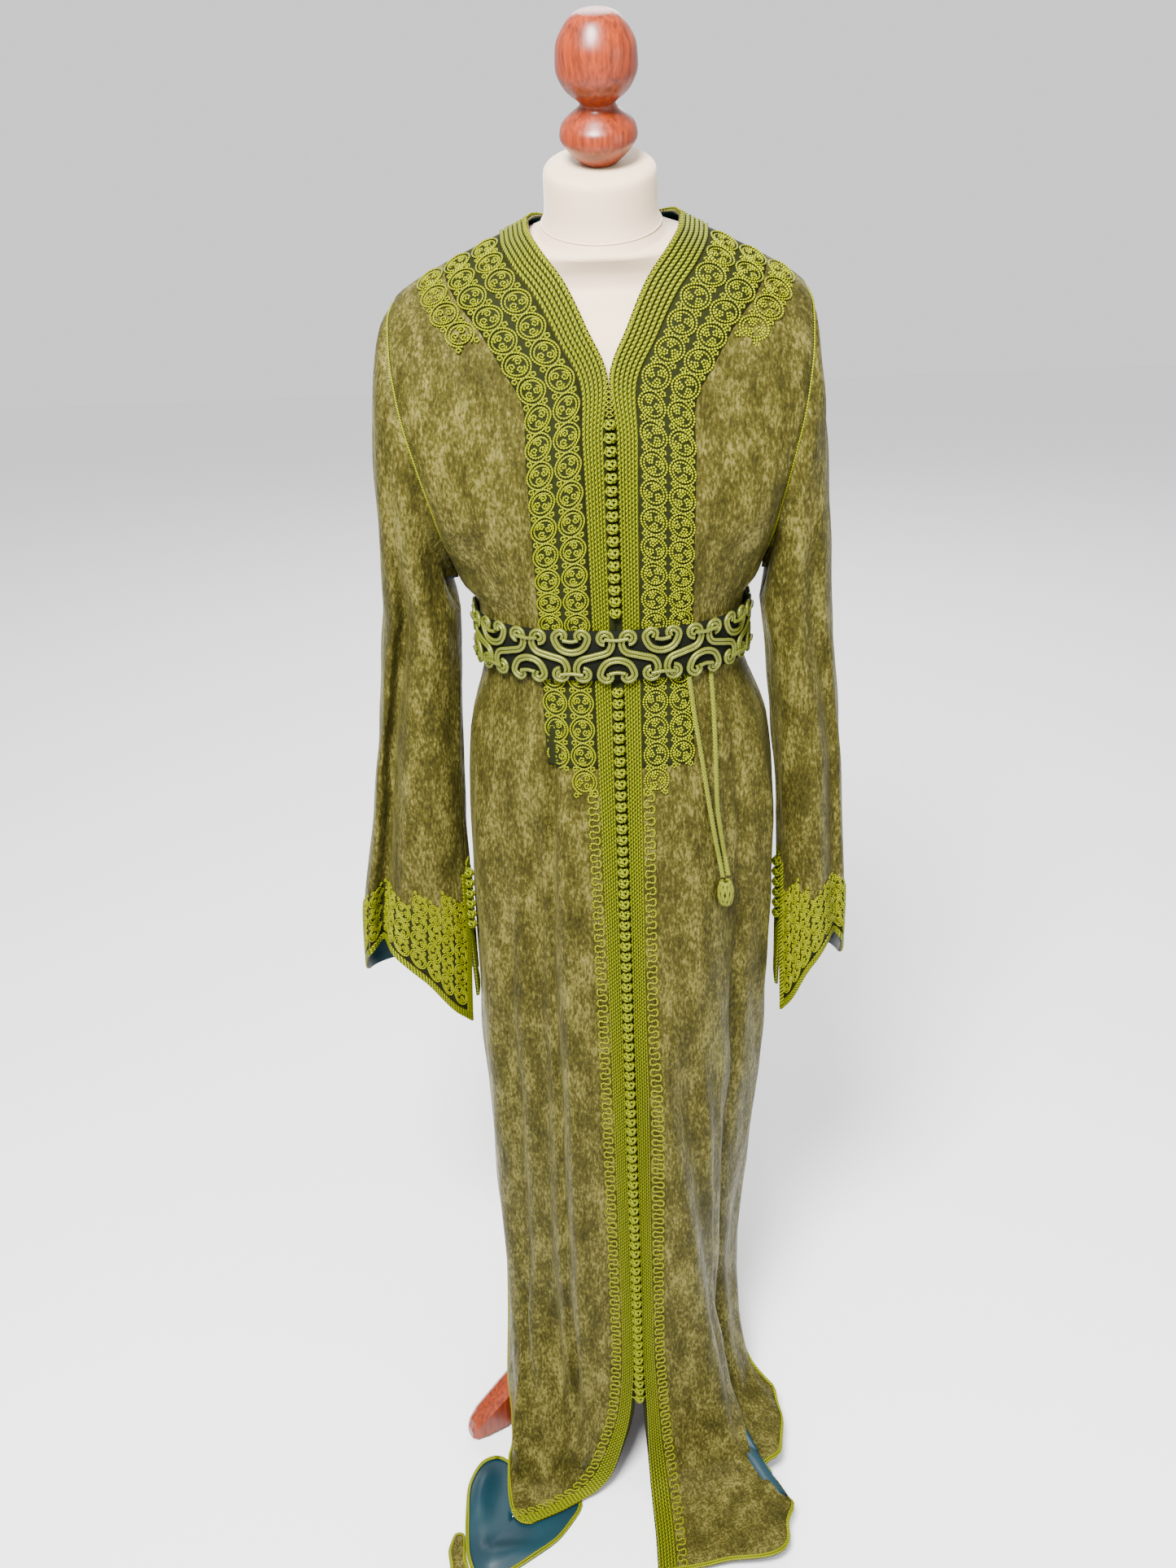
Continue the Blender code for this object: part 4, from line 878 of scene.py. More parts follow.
# %% [markdown]
# ## Sfifa
#
# The sfifa is a band of six narrow plaits worked side by side, sewn round the neck and
# down each front edge to the hem; the shade under and between the plaits is painted as a
# dark strip of cloth beneath them. It narrows below the belt and spreads again on the
# floor. Tiny loops, a picot, edge the neckline.

# %% Sfifa
BRAID_PLAITS = 6
CORD_STEP = 0.0025


def plait_chains(cloth, down, strip, braid):
    """Six plaits side by side over a stretch of a map."""
    chains = []
    for number in range(BRAID_PLAITS):
        across = strip + braid * (number + 0.5) / BRAID_PLAITS
        points, lifts = on_cloth(cloth, down, across, LAY_GAP + 0.0006)
        chains.append((points, lifts, False, braid / BRAID_PLAITS / 2 * 1000 * 0.90))
    return chains


def shade_strip(name, cloth, down, inner, outer):
    """Painted shade under cords: a thin dark strip of cloth between two distances across."""
    shares = np.linspace(0, 1, 5)
    sheets = []
    for lift in (0.0007, 0.0001):
        sheets.append(np.array([on_cloth(cloth, down, inner + (outer - inner) * share, lift)[0]
                                for share in shares]).transpose(1, 0, 2))
    piece = cloth_wall(name, sheets[0], sheets[1], [shade_ground])


def picot(name, cloth, start, end):
    """A row of tiny loops on the very edge of the neckline."""
    down = np.arange(start, end, 0.0006)
    wave = 2 * math.pi * down / 0.0044
    points, lifts = on_cloth(cloth, down, 0.0014 + 0.0013 * np.sin(wave), 0.0024)
    piece = sweep_cords(name, [(points, lifts, False)], 0.0007, scroll_cord, sides=5)


def make_sfifa(side, word):
    cloth = MAPS[side]
    down = np.arange(0, cloth["down"][-1], CORD_STEP)
    strip, braid, _ = bands_at(cloth, down)
    piece = sweep_cords("sfifa_plaits_" + word, plait_chains(cloth, down, strip, braid), 0.001, braid_plait)
    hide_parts("sfifa_" + word)
    # A dark strip under the plaits paints the shade between and under them.
    shade_strip("sfifa_ground_" + word, cloth, down, 0 * strip, strip + braid)
    picot("picot_" + word, cloth, 0.001, down_at(cloth, FIRST_KNOT))


def make_back_neck(side, word):
    """The braid's run round the back of the neck."""
    cloth = panel_map(side, BACK)
    middle_row = int(np.argmax(np.abs(cloth["points"][:, 0, 0]) < 0.001))
    down = np.linspace(0, cloth["down"][middle_row], 40)
    strip, braid = np.full(len(down), 0.0008), np.full(len(down), 0.0190)
    piece = sweep_cords("sfifa_back_" + word, plait_chains(cloth, down, strip, braid), 0.001, braid_plait)
    picot("picot_back_" + word, cloth, 0.0, down[-1])


FIRST_KNOT = 1.2560
for side, word in SIDES:
    make_sfifa(side, word)
for side, word in SIDES:
    make_back_neck(side, word)

# %% [markdown]
# ## Couched scrolls
#
# The embroidery is a silk cord stitched down in scrolls. Between neck and hip it makes
# two columns of medallions, and three on the shoulder: two long cords swing round one
# medallion after another and cross between them, and inside are a ring and three small
# spirals. It is a common Moroccan cord pattern, drawn from circles and waves alone.

# %% Scroll motifs
MEDALLION = 0.0265          # pitch of the medallions down the column
COLUMN = 0.0262             # pitch of the columns
SHOULDER_MEDALLIONS = 4     # length of the third column
WORK_START = 0.003
SCROLL_RADIUS = 0.00092
SCROLL_STEP = 0.0015


def circle(radius_across, radius_down, middle=(0.0, 0.0)):
    count = max(10, int(2 * math.pi * max(radius_across, radius_down) / SCROLL_STEP))
    turn = np.linspace(0, 2 * math.pi, count, endpoint=False)
    return np.stack([middle[0] + radius_across * np.cos(turn), middle[1] + radius_down * np.sin(turn)], 1)


def spiral(radius, turns, start, middle):
    """A spiral from its heart to its rim, which it reaches at the angle start."""
    count = int(turns * math.pi * radius / SCROLL_STEP) + 8
    share = np.linspace(0.12, 1, count)
    angle = start - 2 * math.pi * turns * (1 - share)
    reach = radius * share
    return np.stack([middle[0] + reach * np.cos(angle), middle[1] + reach * np.sin(angle)], 1)


def medallion(size, turn):
    """Chains of one medallion as (across, down) places around its middle, and closed."""
    chains = [(circle(0.350 * size, 0.355 * size), True)]
    for number in range(3):
        angle = turn + 2 * math.pi * number / 3
        middle = (0.165 * size * math.cos(angle), 0.165 * size * math.sin(angle))
        chains.append((spiral(0.150 * size, 1.6, angle + math.pi / 2, middle), False))
    return chains


def corner_rings(size):
    return [(circle(0.075 * size, 0.075 * size, (place * size, 0.5 * size)), True) for place in (-0.33, 0.33)]


def flowing_rings(start, count, size):
    """Two long cords that swing round one medallion after another and cross between them."""
    down = np.arange(start, start + count * MEDALLION, 0.0010)
    swing = np.cos(math.pi * (down - start) / MEDALLION - math.pi / 2)
    swing = np.sign(swing) * np.abs(swing) ** 0.55
    return [(np.stack([way * 0.455 * size * swing, down], axis=1), False) for way in (1, -1)]


def place_chains(cloth, chains, down, across, lift):
    placed = []
    for shape, closed in chains:
        points, lifts = on_cloth(cloth, down + shape[:, 1], across + shape[:, 0], lift)
        placed.append((points, lifts, closed))
    return placed


# %% Scrolls on the fronts
WORK_END = 0.88
WORK_GAP = 0.0012           # between the braid and the first medallions


def make_scrolls(side, word):
    cloth = MAPS[side]
    chains = []
    count = int((down_at(cloth, WORK_END) - WORK_START) / MEDALLION)
    for column in range(3):
        number_here = (count, count - 1, SHOULDER_MEDALLIONS)[column]
        runs = flowing_rings(WORK_START, number_here, COLUMN)
        motifs = [(number, WORK_START + (number + 0.5) * MEDALLION) for number in range(number_here)]
        for shape, closed in runs:
            strip, braid, _ = bands_at(cloth, shape[:, 1])
            across = strip + braid + WORK_GAP + COLUMN * (column + 0.5) + shape[:, 0]
            points, lifts = on_cloth(cloth, shape[:, 1], across, LAY_GAP + 0.0012)
            chains.append((points, lifts, closed))
        for number, down in motifs:
            strip, braid, _ = (float(v[0]) for v in bands_at(cloth, np.array([down])))
            across = strip + braid + WORK_GAP + COLUMN * (column + 0.5)
            shapes = medallion(COLUMN, 0.9 * number + 1.7 * column) + corner_rings(COLUMN)
            chains += place_chains(cloth, shapes, down, across, LAY_GAP + 0.0006)
    piece = sweep_cords("scrolls_" + word, chains, SCROLL_RADIUS, scroll_cord, sides=4)
    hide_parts("embroidery_" + word)
    # A dark strip under the medallions paints the shade between the cords.
    down = np.arange(WORK_START, WORK_START + (count - 1) * MEDALLION, 0.004)
    strip, braid, _ = bands_at(cloth, down)
    inner = strip + braid + 0.0004
    shade_strip("scroll_ground_" + word, cloth, down, inner, inner + 2 * COLUMN)


for side, word in SIDES:
    make_scrolls(side, word)

# %% [markdown]
# ## Meander
#
# Below the medallions a single cord runs on to the hem in loops, beside the sfifa.

# %% Meander
MEANDER_PITCH = 0.0125
MEANDER_WIDE = 0.0052


def make_meander(side, word):
    cloth = MAPS[side]
    down = np.arange(down_at(cloth, WORK_END + 0.02), cloth["down"][-1] - 0.004, 0.0009)
    strip, braid, _ = bands_at(cloth, down)
    phase = down * 2 * math.pi / MEANDER_PITCH
    across = strip + braid + 0.0068 + MEANDER_WIDE * np.sin(phase)
    wander = -0.0021 * np.sin(2 * phase)
    points, lifts = on_cloth(cloth, down + wander, across, LAY_GAP + 0.0004)
    piece = sweep_cords("meander_" + word, [(points, lifts, False)], SCROLL_RADIUS * 1.1, scroll_cord,
                        sides=5)
    return piece


for side, word in SIDES:
    make_meander(side, word)

# %% [markdown]
# ## Aakad, the knotted buttons
#
# Each button is a ball knot of silk cord. One knot is made as a closed path that winds
# over and under itself on a ball, and Geometry Nodes set a copy on every point of the
# row, turned to face out of the cloth.

# %% The knot and its row tree
KNOT_PITCH = 0.0116
KNOT_WIDTH = 0.0110
KNOT_RISE = 0.0044
KNOT_COUNT = 97
BELT_TOP, BELT_LOW = 1.0620, 1.0060


def ball_knot(count=72):
    """A closed path that weaves over a ball: three windings, crossing over and under."""
    turn = np.linspace(0, 2 * math.pi, count, endpoint=False)
    high = 0.72 * np.sin(4 * turn)
    round_angle = 3 * turn
    reach = np.sqrt(1 - high ** 2) * (1 + 0.10 * np.cos(8 * turn))
    return np.stack([reach * np.cos(round_angle), high, reach * np.sin(round_angle)], axis=1)


def tube_points(path, radius, sides):
    """Rings of a closed tube round a path, with outward rings from the ball's centre."""
    along = unit(np.roll(path, -1, axis=0) - np.roll(path, 1, axis=0))
    out = unit(path - np.sum(path * along, axis=1, keepdims=True) * along)
    over = np.cross(along, out)
    angle = np.linspace(0, 2 * math.pi, sides, endpoint=False)
    return path[:, None] + radius * (out[:, None] * np.cos(angle)[None, :, None]
                                     + over[:, None] * np.sin(angle)[None, :, None])


def make_knot_source():
    """One knot at unit size: width 1 across X, the row runs along Y, out is Z."""
    sides = 5
    path = ball_knot() * [0.385, 0.470, 0.385]
    grid = tube_points(path, 0.112, sides)
    rows, columns = grid.shape[:2]
    faces = grid_faces(rows, columns, closed=True).tolist()
    last = (rows - 1) * columns
    faces += [[last + c, c, (c + 1) % columns, last + (c + 1) % columns] for c in range(columns)]
    points = grid.reshape(-1, 3)
    if volume_sign(points, np.array(faces)) < 0:
        faces = [face[::-1] for face in faces]
    mesh = bpy.data.meshes.new("one_knot")
    mesh.from_pydata(points.tolist(), [], faces)
    mesh.attributes.new("along", "FLOAT", "POINT").data.foreach_set(
        "value", np.repeat(np.arange(rows) * 0.00085, columns))
    mesh.attributes.new("around", "FLOAT", "POINT").data.foreach_set(
        "value", np.tile(np.arange(columns) / columns, rows))
    mesh.shade_smooth()
    mesh.materials.append(knot_cord)
    made = bpy.data.objects.new("one_knot", mesh)
    bpy.context.scene.collection.objects.link(made)
    return made


def make_row_tree():
    """Copies of a piece on points that carry `lift` (out) and `run` (along the row)."""
    tree = bpy.data.node_groups.new("sew_row", "GeometryNodeTree")
    face = tree.interface
    face.new_socket("Geometry", in_out="INPUT", socket_type="NodeSocketGeometry")
    face.new_socket("Piece", in_out="INPUT", socket_type="NodeSocketObject")
    face.new_socket("Size", in_out="INPUT", socket_type="NodeSocketFloat")
    face.new_socket("Finish", in_out="INPUT", socket_type="NodeSocketMaterial")
    face.new_socket("Geometry", in_out="OUTPUT", socket_type="NodeSocketGeometry")
    given = tree.nodes.new("NodeGroupInput")
    lift = add_node(tree, "GeometryNodeInputNamedAttribute", {"Name": "lift"}, data_type="FLOAT_VECTOR")
    run = add_node(tree, "GeometryNodeInputNamedAttribute", {"Name": "run"}, data_type="FLOAT_VECTOR")
    turn = add_node(tree, "FunctionNodeAxesToRotation", {0: lift.outputs[0], 1: run.outputs[0]},
                    primary_axis="Z", secondary_axis="Y")
    one = add_node(tree, "GeometryNodeObjectInfo", {"Object": given.outputs["Piece"]})
    copies = add_node(tree, "GeometryNodeInstanceOnPoints",
                      {"Points": given.outputs["Geometry"], "Instance": one.outputs["Geometry"],
                       "Rotation": turn.outputs[0], "Scale": given.outputs["Size"]})
    real = add_node(tree, "GeometryNodeRealizeInstances", {"Geometry": copies.outputs[0]})
    done = add_node(tree, "GeometryNodeSetMaterial",
                    {"Geometry": real.outputs[0], "Material": given.outputs["Finish"]})
    add_node(tree, "NodeGroupOutput", {"Geometry": done.outputs[0]})
    return tree


row_tree = make_row_tree()
one_knot = make_knot_source()


def sew_row(name, piece, points, lifts, runs, size, material):
    source = point_object(name + "_points", points, [], {"lift": lifts, "run": runs})
    made = run_tree(source, name, row_tree, {"Piece": piece, "Size": size, "Finish": material}, [material])
    print(f"{name}: {len(points)} copies, {len(made.data.polygons)} faces")
    return made


# %% Knots down the front
def centre_line():
    """The line between the fronts, with its height, from below the V of the neck."""
    line = MAPS[RIGHT]["points"][:, 0].copy()
    out = MAPS[RIGHT]["normals"][:, 0].copy()
    line[:, 0], out[:, 0] = 0, 0
    length = np.concatenate([[0], np.cumsum(np.linalg.norm(np.diff(line, axis=0), axis=1))])
    return line, unit(out), length


def make_knot_rows():
    line, out, length = centre_line()
    start, top, low = (np.interp(-z, -line[:, 2], length) for z in (FIRST_KNOT, BELT_TOP, BELT_LOW))
    before = int((top - start - 0.001) / KNOT_PITCH)
    after = math.ceil((low - start + 0.001) / KNOT_PITCH)
    for name, first, last in (("knots_upper", 0, before), ("knots_lower", after, KNOT_COUNT)):
        places = start + KNOT_PITCH * (np.arange(first, last) + 0.5)
        points, lifts = point_at(line, length, places), unit(point_at(out, length, places))
        runs = unit(point_at(line, length, places + 0.001) - points)
        row = sew_row("aakad_" + name[6:], one_knot, points + lifts * KNOT_RISE, lifts, runs, KNOT_WIDTH,
                      knot_cord)
        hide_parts(name)
        # A dark cord under the knots paints the shade in the slot between the fronts.
        ends = np.arange(places[0] - KNOT_PITCH / 2, places[-1] + KNOT_PITCH / 2, 0.003)
        core, core_lift = point_at(line, length, ends), unit(point_at(out, length, ends))
        cord = sweep_cords("knot_core_" + name[6:], [(core + core_lift * 0.0026, core_lift, False)], 0.0018,
                           shade_ground)
        loops = []
        for place in places:
            for side, _ in SIDES:
                across = np.linspace(0.0, 0.0062, 5)
                down = np.interp(np.interp(place, length, line[:, 2]), MAPS[side]["height"][::-1],
                                 MAPS[side]["down"][::-1])
                lift = np.array([0.0040, 0.0034, 0.0024, 0.0016, 0.0012])
                loops.append((*on_cloth(MAPS[side], np.full(5, down), across, lift), False))
        loop = sweep_cords("knot_loops_" + name[6:], loops, 0.0009, knot_cord, sides=5)


make_knot_rows()

# %% [markdown]
# ## Sleeves
#
# The sleeves hang from the armholes as tubes that widen to the cuff, with a slit at the
# inner front and a deep lengthwise hollow. Their rows follow the armhole's points first
# and the section table below it.

# %% Sleeve tables
ARMPIT_LEVEL = 7.0
ARMHOLE_GAP = 0.0005
SLEEVE_BOW = {LEFT: 0.013, RIGHT: 0.006}
UNDERARM_CLEAR = 0.0030
UNDERARM = 0.50
SLIT_START, SLIT_OPEN = 0.80, 0.05
SLEEVE_FURROW = 0.30
FURROW_DEPTH = {LEFT: 0.044, RIGHT: 0.022}
FURROW_REACH = {LEFT: 0.036, RIGHT: 0.050}
SLIT_TURN = 0.055
ROWS_ABOVE, ROWS_BELOW = 5, 9
SLEEVE_LEFT = """
z       outer   inner   centre  front   behind
1.0500  0.2400  0.1600 -0.0020  0.0560  0.0540
0.9200  0.2560  0.1660 -0.0100  0.0540  0.0500
0.8000  0.2760  0.1690 -0.0180  0.0520  0.0480
0.7000  0.2930  0.1700 -0.0240  0.0500  0.0460
0.6200  0.2960  0.1700 -0.0280  0.0480  0.0440
"""
SLEEVE_RIGHT = """
z       outer   inner   centre  front   behind
1.0500  0.2210  0.1480 -0.0020  0.0560  0.0560
0.9200  0.2330  0.1620 -0.0080  0.0560  0.0560
0.8000  0.2400  0.1680 -0.0140  0.0560  0.0560
0.7000  0.2450  0.1700 -0.0180  0.0540  0.0540
0.6200  0.2440  0.1700 -0.0200  0.0520  0.0520
"""
CUFF_HEM = """
turn    z
0.00    0.5760
0.06    0.5960
0.16    0.6480
0.27    0.6780
0.36    0.6650
0.46    0.6320
0.62    0.6280
0.80    0.6300
0.94    0.6140
1.00    0.6000
"""
CUFF = read_table(CUFF_HEM)
SLEEVES = {LEFT: read_table(SLEEVE_LEFT), RIGHT: read_table(SLEEVE_RIGHT)}


# %% Sleeve shapes
def armhole(side, finer):
    """The armhole's points and wall normals: up the front edge, down the back edge."""
    points, normals = [], []
    for face in (FRONT, BACK):
        levels = [level for level in panel_levels(side, face, finer) if level <= ARMPIT_LEVEL]
        grid = []
        for level in levels:
            curve, length, _ = panel_curve(side, face, level)
            grid.append(point_at(curve, length, np.linspace(0, length[-1], 40)))
        grid = np.array(grid)
        normal = panel_normals(grid, side, face)
        edge = grid[:, -1] + unit(grid[:, -1] - grid[:, -2]) * ARMHOLE_GAP
        lift = normal[:, -1]
        if face == FRONT:
            edge, lift = edge[::-1], lift[::-1]
        points.append(edge)
        normals.append(lift)
    tip = (points[0][-1] + points[1][0]) / 2
    edge = np.concatenate([points[0][:-1], [tip], points[1][1:]])
    lift = np.concatenate([normals[0][:-1], [unit(normals[0][-1] + normals[1][0])], normals[1][1:]])
    return edge, lift


def sleeve_section(side, table, turn, height, share):
    """A row of the sleeve at given heights; share is 0 below the armhole, 1 at the hem."""
    outer, inner = by_height(table, "outer", height), by_height(table, "inner", height)
    front, behind = by_height(table, "front", height), by_height(table, "behind", height)
    opening = SLIT_OPEN * max(0.0, (share - SLIT_START) / (1 - SLIT_START))
    spread = SEAM_GAP * 2 + opening
    around = 2 * math.pi * (turn * (1 - spread) + spread / 2) + SLIT_TURN * 2 * math.pi * min(1, share * 3)
    furrow = FURROW_DEPTH[side] * math.sin(math.pi * min(1, share * 1.25 + 0.35) / 2)
    hollow = 1 - furrow / front * np.exp(-((turn - SLEEVE_FURROW) / FURROW_REACH[side]) ** 2)
    half = (outer - inner) / 2
    x = (outer + inner) / 2 - half * np.cos(around)
    depth = np.where(np.sin(around) > 0, front * hollow, behind)
    y = by_height(table, "centre", height) - depth * np.sin(around)
    return np.stack([side * x, y, height], axis=1)


def sleeve_grid(side, finer=5):
    """Rows from the armhole to the hem; columns from the slit round front and back."""
    table = SLEEVES[side]
    edge, lift = armhole(side, finer)
    length = np.concatenate([[0], np.cumsum(np.linalg.norm(np.diff(edge, axis=0), axis=1))])
    turn = length / length[-1]
    under = np.clip((np.abs(turn - 0.5) * 2 - UNDERARM) / (1 - UNDERARM), 0, 1)[:, None]
    edge = edge + lift * under * UNDERARM_CLEAR
    lift = unit(lift * (1 - under) + np.array([side * -0.5, 0, -1.0]) * under)
    hem = smooth(CUFF["turn"], CUFF["z"], turn)
    top_z = table["z"][0]
    rows, above, below_rows = [edge], ROWS_ABOVE * finer, ROWS_BELOW * finer
    below = sleeve_section(side, table, turn, np.full(len(turn), top_z), 0.0)
    for number in range(1, above):
        share = number / above
        bow = math.sin(math.pi * share ** 0.45) * SLEEVE_BOW[side]
        rows.append(edge + (below - edge) * share + unit(lift * [1, 1, 0]) * bow * (1 - under)
                    + np.array([side, 0, 0]) * bow * under)
    for number in range(below_rows + 1):
        share = number / below_rows
        rows.append(sleeve_section(side, table, turn, top_z + (hem - top_z) * share, share))
    return np.array(rows), lift, turn


SLEEVE_GRIDS = {}
for number, (side, word) in enumerate(SIDES):
    grid, lift, turn = sleeve_grid(side)
    normal = outward(grid) * side
    normal[0] = lift
    down = np.linspace(0, 1, len(grid))
    calm = (np.clip(down / 0.06, 0, 1) * np.clip((0.80 - down) / 0.1, 0, 1))[:, None] * \
        (np.clip(turn / 0.05, 0, 1) * np.clip((1 - turn) / 0.05, 0, 1))[None, :]
    grid = grid + normal * (creases(grid, 31.0 + 5 * number, 0.004) * calm)[..., None]
    normal = outward(grid) * side
    normal[0] = lift
    SLEEVE_GRIDS[side] = (grid, normal, turn)
    piece = cloth_wall("velvet_sleeve_" + word, grid, grid - normal * CLOTH, [velvet, lining])
    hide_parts("sleeve_" + word)
    seam_edge, seam_lift = armhole(side, 5)
    seam_cord = sweep_cords("armhole_cord_" + word, [(seam_edge + seam_lift * 0.0008, seam_lift, False)],
                            0.0009, scroll_cord)

# %% [markdown]
# ## Cuffs
#
# The lower sleeve is covered with the same scrolls, in a point that runs up beside the
# slit, and edged with a plait. A map of the sleeve gives distances up from the hem and
# round from the slit.

# %% Sleeve maps and cuffs
def sleeve_map(side):
    """Columns become `down` (round the sleeve) and rows `across` (up from the hem)."""
    grid, normal, turn = SLEEVE_GRIDS[side]
    points = np.swapaxes(grid[::-1], 0, 1)
    normals = np.swapaxes(normal[::-1], 0, 1)
    around = np.linalg.norm(np.diff(points[:, 4], axis=0), axis=1)
    up = np.linalg.norm(np.diff(points[len(points) // 2], axis=0), axis=1)
    return {"down": np.concatenate([[0], np.cumsum(around)]), "across": np.concatenate([[0], np.cumsum(up)]),
            "points": points, "normals": normals}


CUFF_SIZE = 0.0235


def cuff_medallion(size, turn):
    return [(circle(0.45 * size, 0.45 * size), True)] + medallion(size, turn) + corner_rings(size)


def make_cuff(side, word):
    cloth = sleeve_map(side)
    total = cloth["down"][-1]
    around_run = np.linspace(0.004, total - 0.004, 60)
    # A dark strip under the cuff scrolls paints the shade between the cords.
    shade_low = np.full(len(around_run), 0.010)
    shade_strip("cuff_ground_" + word, cloth, around_run, shade_low, shade_low + 3 * CUFF_SIZE)
    chains = []
    columns = int((total - 0.020) / CUFF_SIZE)
    for column in range(columns):
        around = 0.010 + CUFF_SIZE * (column + 0.5)
        share = around / total
        rows = 5 if share < 0.16 or share > 0.88 else (4 if share < 0.24 or share > 0.80 else 3)
        for row in range(rows):
            chains += place_chains(cloth, [(shape[:, ::-1], closed) for shape, closed in
                                           cuff_medallion(CUFF_SIZE, 0.8 * column + row)],
                                   around, 0.012 + CUFF_SIZE * (row + 0.5), LAY_GAP + 0.0004)
    piece = sweep_cords("cuff_scrolls_" + word, chains, SCROLL_RADIUS, scroll_cord, sides=4)
    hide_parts("cuff_" + word)
    edging = []
    hem_run = np.arange(0, total, CORD_STEP)
    for number in range(3):
        points, lifts = on_cloth(cloth, hem_run, 0.0012 + 0.0028 * number, LAY_GAP)
        edging.append((points, lifts, False, np.full(len(points), 1.45)))
    slit_run = np.arange(0, 0.165, CORD_STEP)
    for near, far in ((0.0012, 1), (total - 0.0012, -1)):
        for number in range(4):
            round_place = np.full(len(slit_run), near + far * 0.0026 * number)
            points, lifts = on_cloth(cloth, round_place, slit_run, LAY_GAP)
            edging.append((points, lifts, False, np.full(len(points), 1.35)))
    band = sweep_cords("cuff_plaits_" + word, edging, 0.001, braid_plait)
    rise = 0.165 + KNOT_PITCH * (np.arange(6) - 5.5)
    left_side, out_a = on_cloth(cloth, np.full(6, 0.0), rise, 0.004)
    right_side, out_b = on_cloth(cloth, np.full(6, total), rise, 0.004)
    points, lifts = (left_side + right_side) / 2, unit(out_a + out_b)
    runs = unit(np.gradient(points, axis=0))
    knots = sew_row("cuff_aakad_" + word, one_knot, points, lifts, runs, KNOT_WIDTH, knot_cord)
    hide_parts("cuff_knots_" + word)


for side, word in SIDES:
    make_cuff(side, word)

# %% [markdown]
# ## Belt
#
# The belt is a band of dark net with satin-wrapped cords coiled on it in pairs. The
# repeat is 88 mm: two spirals tied by a bar at the top, S-shaped double cords down to
# two spirals tied at the bottom, and a curled crescent in each gap.

# %% Belt
BELT_LEVEL = 8.5
BELT_CLEAR = 0.0030
BELT_REPEATS = 9
BELT_CORD = 0.0018


def waist_ring(count, offset):
    loops = []
    for side, face in ((RIGHT, FRONT), (RIGHT, BACK), (LEFT, BACK), (LEFT, FRONT)):
        curve, length, _ = panel_curve(side, face, BELT_LEVEL)
        loops.append(curve if (side, face) in ((RIGHT, FRONT), (LEFT, BACK)) else curve[::-1])
    loop = np.concatenate(loops)
    length = np.concatenate([[0], np.cumsum(np.linalg.norm(np.diff(loop[:, :2], axis=0), axis=1))])
    wanted = np.linspace(0, length[-1], count, endpoint=False)
    points = np.stack([np.interp(wanted, length, loop[:, axis]) for axis in range(2)], axis=1)
    tangent = np.roll(points, -1, axis=0) - np.roll(points, 1, axis=0)
    normal = unit(np.stack([tangent[:, 1], -tangent[:, 0]], axis=1))
    return points + normal * offset, normal, float(length[-1])


def curve_through(points, step=0.0016):
    """A smooth path through a few (across, down) points, evenly stepped."""
    points = np.array(points, float)
    fine = np.linspace(0, len(points) - 1, 40 * len(points))
    padded = np.vstack([2 * points[0] - points[1], points, 2 * points[-1] - points[-2]])
    cell = np.minimum(fine.astype(int), len(points) - 2)
    t = (fine - cell)[:, None]
    a, b, c, d = (padded[cell + i] for i in range(4))
    path = 0.5 * (2 * b + (c - a) * t + (2 * a - 5 * b + 4 * c - d) * t ** 2
                  + (3 * b - a - 3 * c + d) * t ** 3)
    length = np.concatenate([[0], np.cumsum(np.linalg.norm(np.diff(path, axis=0), axis=1))])
    wanted = np.linspace(0, length[-1], max(6, int(length[-1] / step)))
    return np.stack([np.interp(wanted, length, path[:, axis]) for axis in range(2)], axis=1)


def beside(path, gap):
    """The path moved sideways by a gap."""
    along = np.gradient(path, axis=0)
    along /= np.linalg.norm(along, axis=1, keepdims=True)
    return path + np.stack([-along[:, 1], along[:, 0]], axis=1) * gap


def coil(middle, start, end, radius=0.0058, heart=0.0046):
    """Points of a curl between two angles in degrees, from its rim to its heart."""
    angle = np.radians(np.linspace(start, end, 10))
    reach = np.linspace(radius, heart, 10)
    return [(middle[0] + r * math.cos(a), middle[1] + r * math.sin(a)) for r, a in zip(reach, angle)]


CRESCENT = ((-7, 11), (-6, 6), (-10.5, 3.2), (-16, 9), (-11, 20), (0, 24),   # in millimetres
            (11, 20), (16, 9), (10.5, 3.2), (6, 6), (7, 11))


def belt_repeat(pitch, high):
    """Centre lines of the double cords of one repeat, as (across, down) paths."""
    half = pitch / 2
    paths = []
    for flip in (1, -1):
        top = coil((0.011, 0.010), 180, 450)[::-1]
        low = coil((half - 0.011, high - 0.010), 0, 270)
        strap = [(0.0043, 0.0165), (0.0085, 0.0240), (half / 2, high / 2), (half - 0.0085, high - 0.0240),
                 (half - 0.0043, high - 0.0165)]
        paths.append(curve_through([(flip * x, y) for x, y in top + strap + low]))
    for middle, upright in ((half, 1), (0.0, -1)):
        shape = [(middle + x / 1000, y / 1000 if upright > 0 else high - y / 1000) for x, y in CRESCENT]
        paths.append(curve_through(shape))
    return paths


def belt_bars(pitch, high):
    """Single cords that tie the hearts of each pair of curls."""
    half = pitch / 2
    bars = []
    for middle, reach, down in ((0.0, 0.011, 0.010), (half, 0.011, high - 0.010), (half, 0.007, 0.011),
                                (0.0, 0.007, high - 0.011)):
        bow = 0.0012 if down < high / 2 else -0.0012
        bars.append(curve_through([(middle - reach, down), (middle, down + bow), (middle + reach, down)]))
    return bars


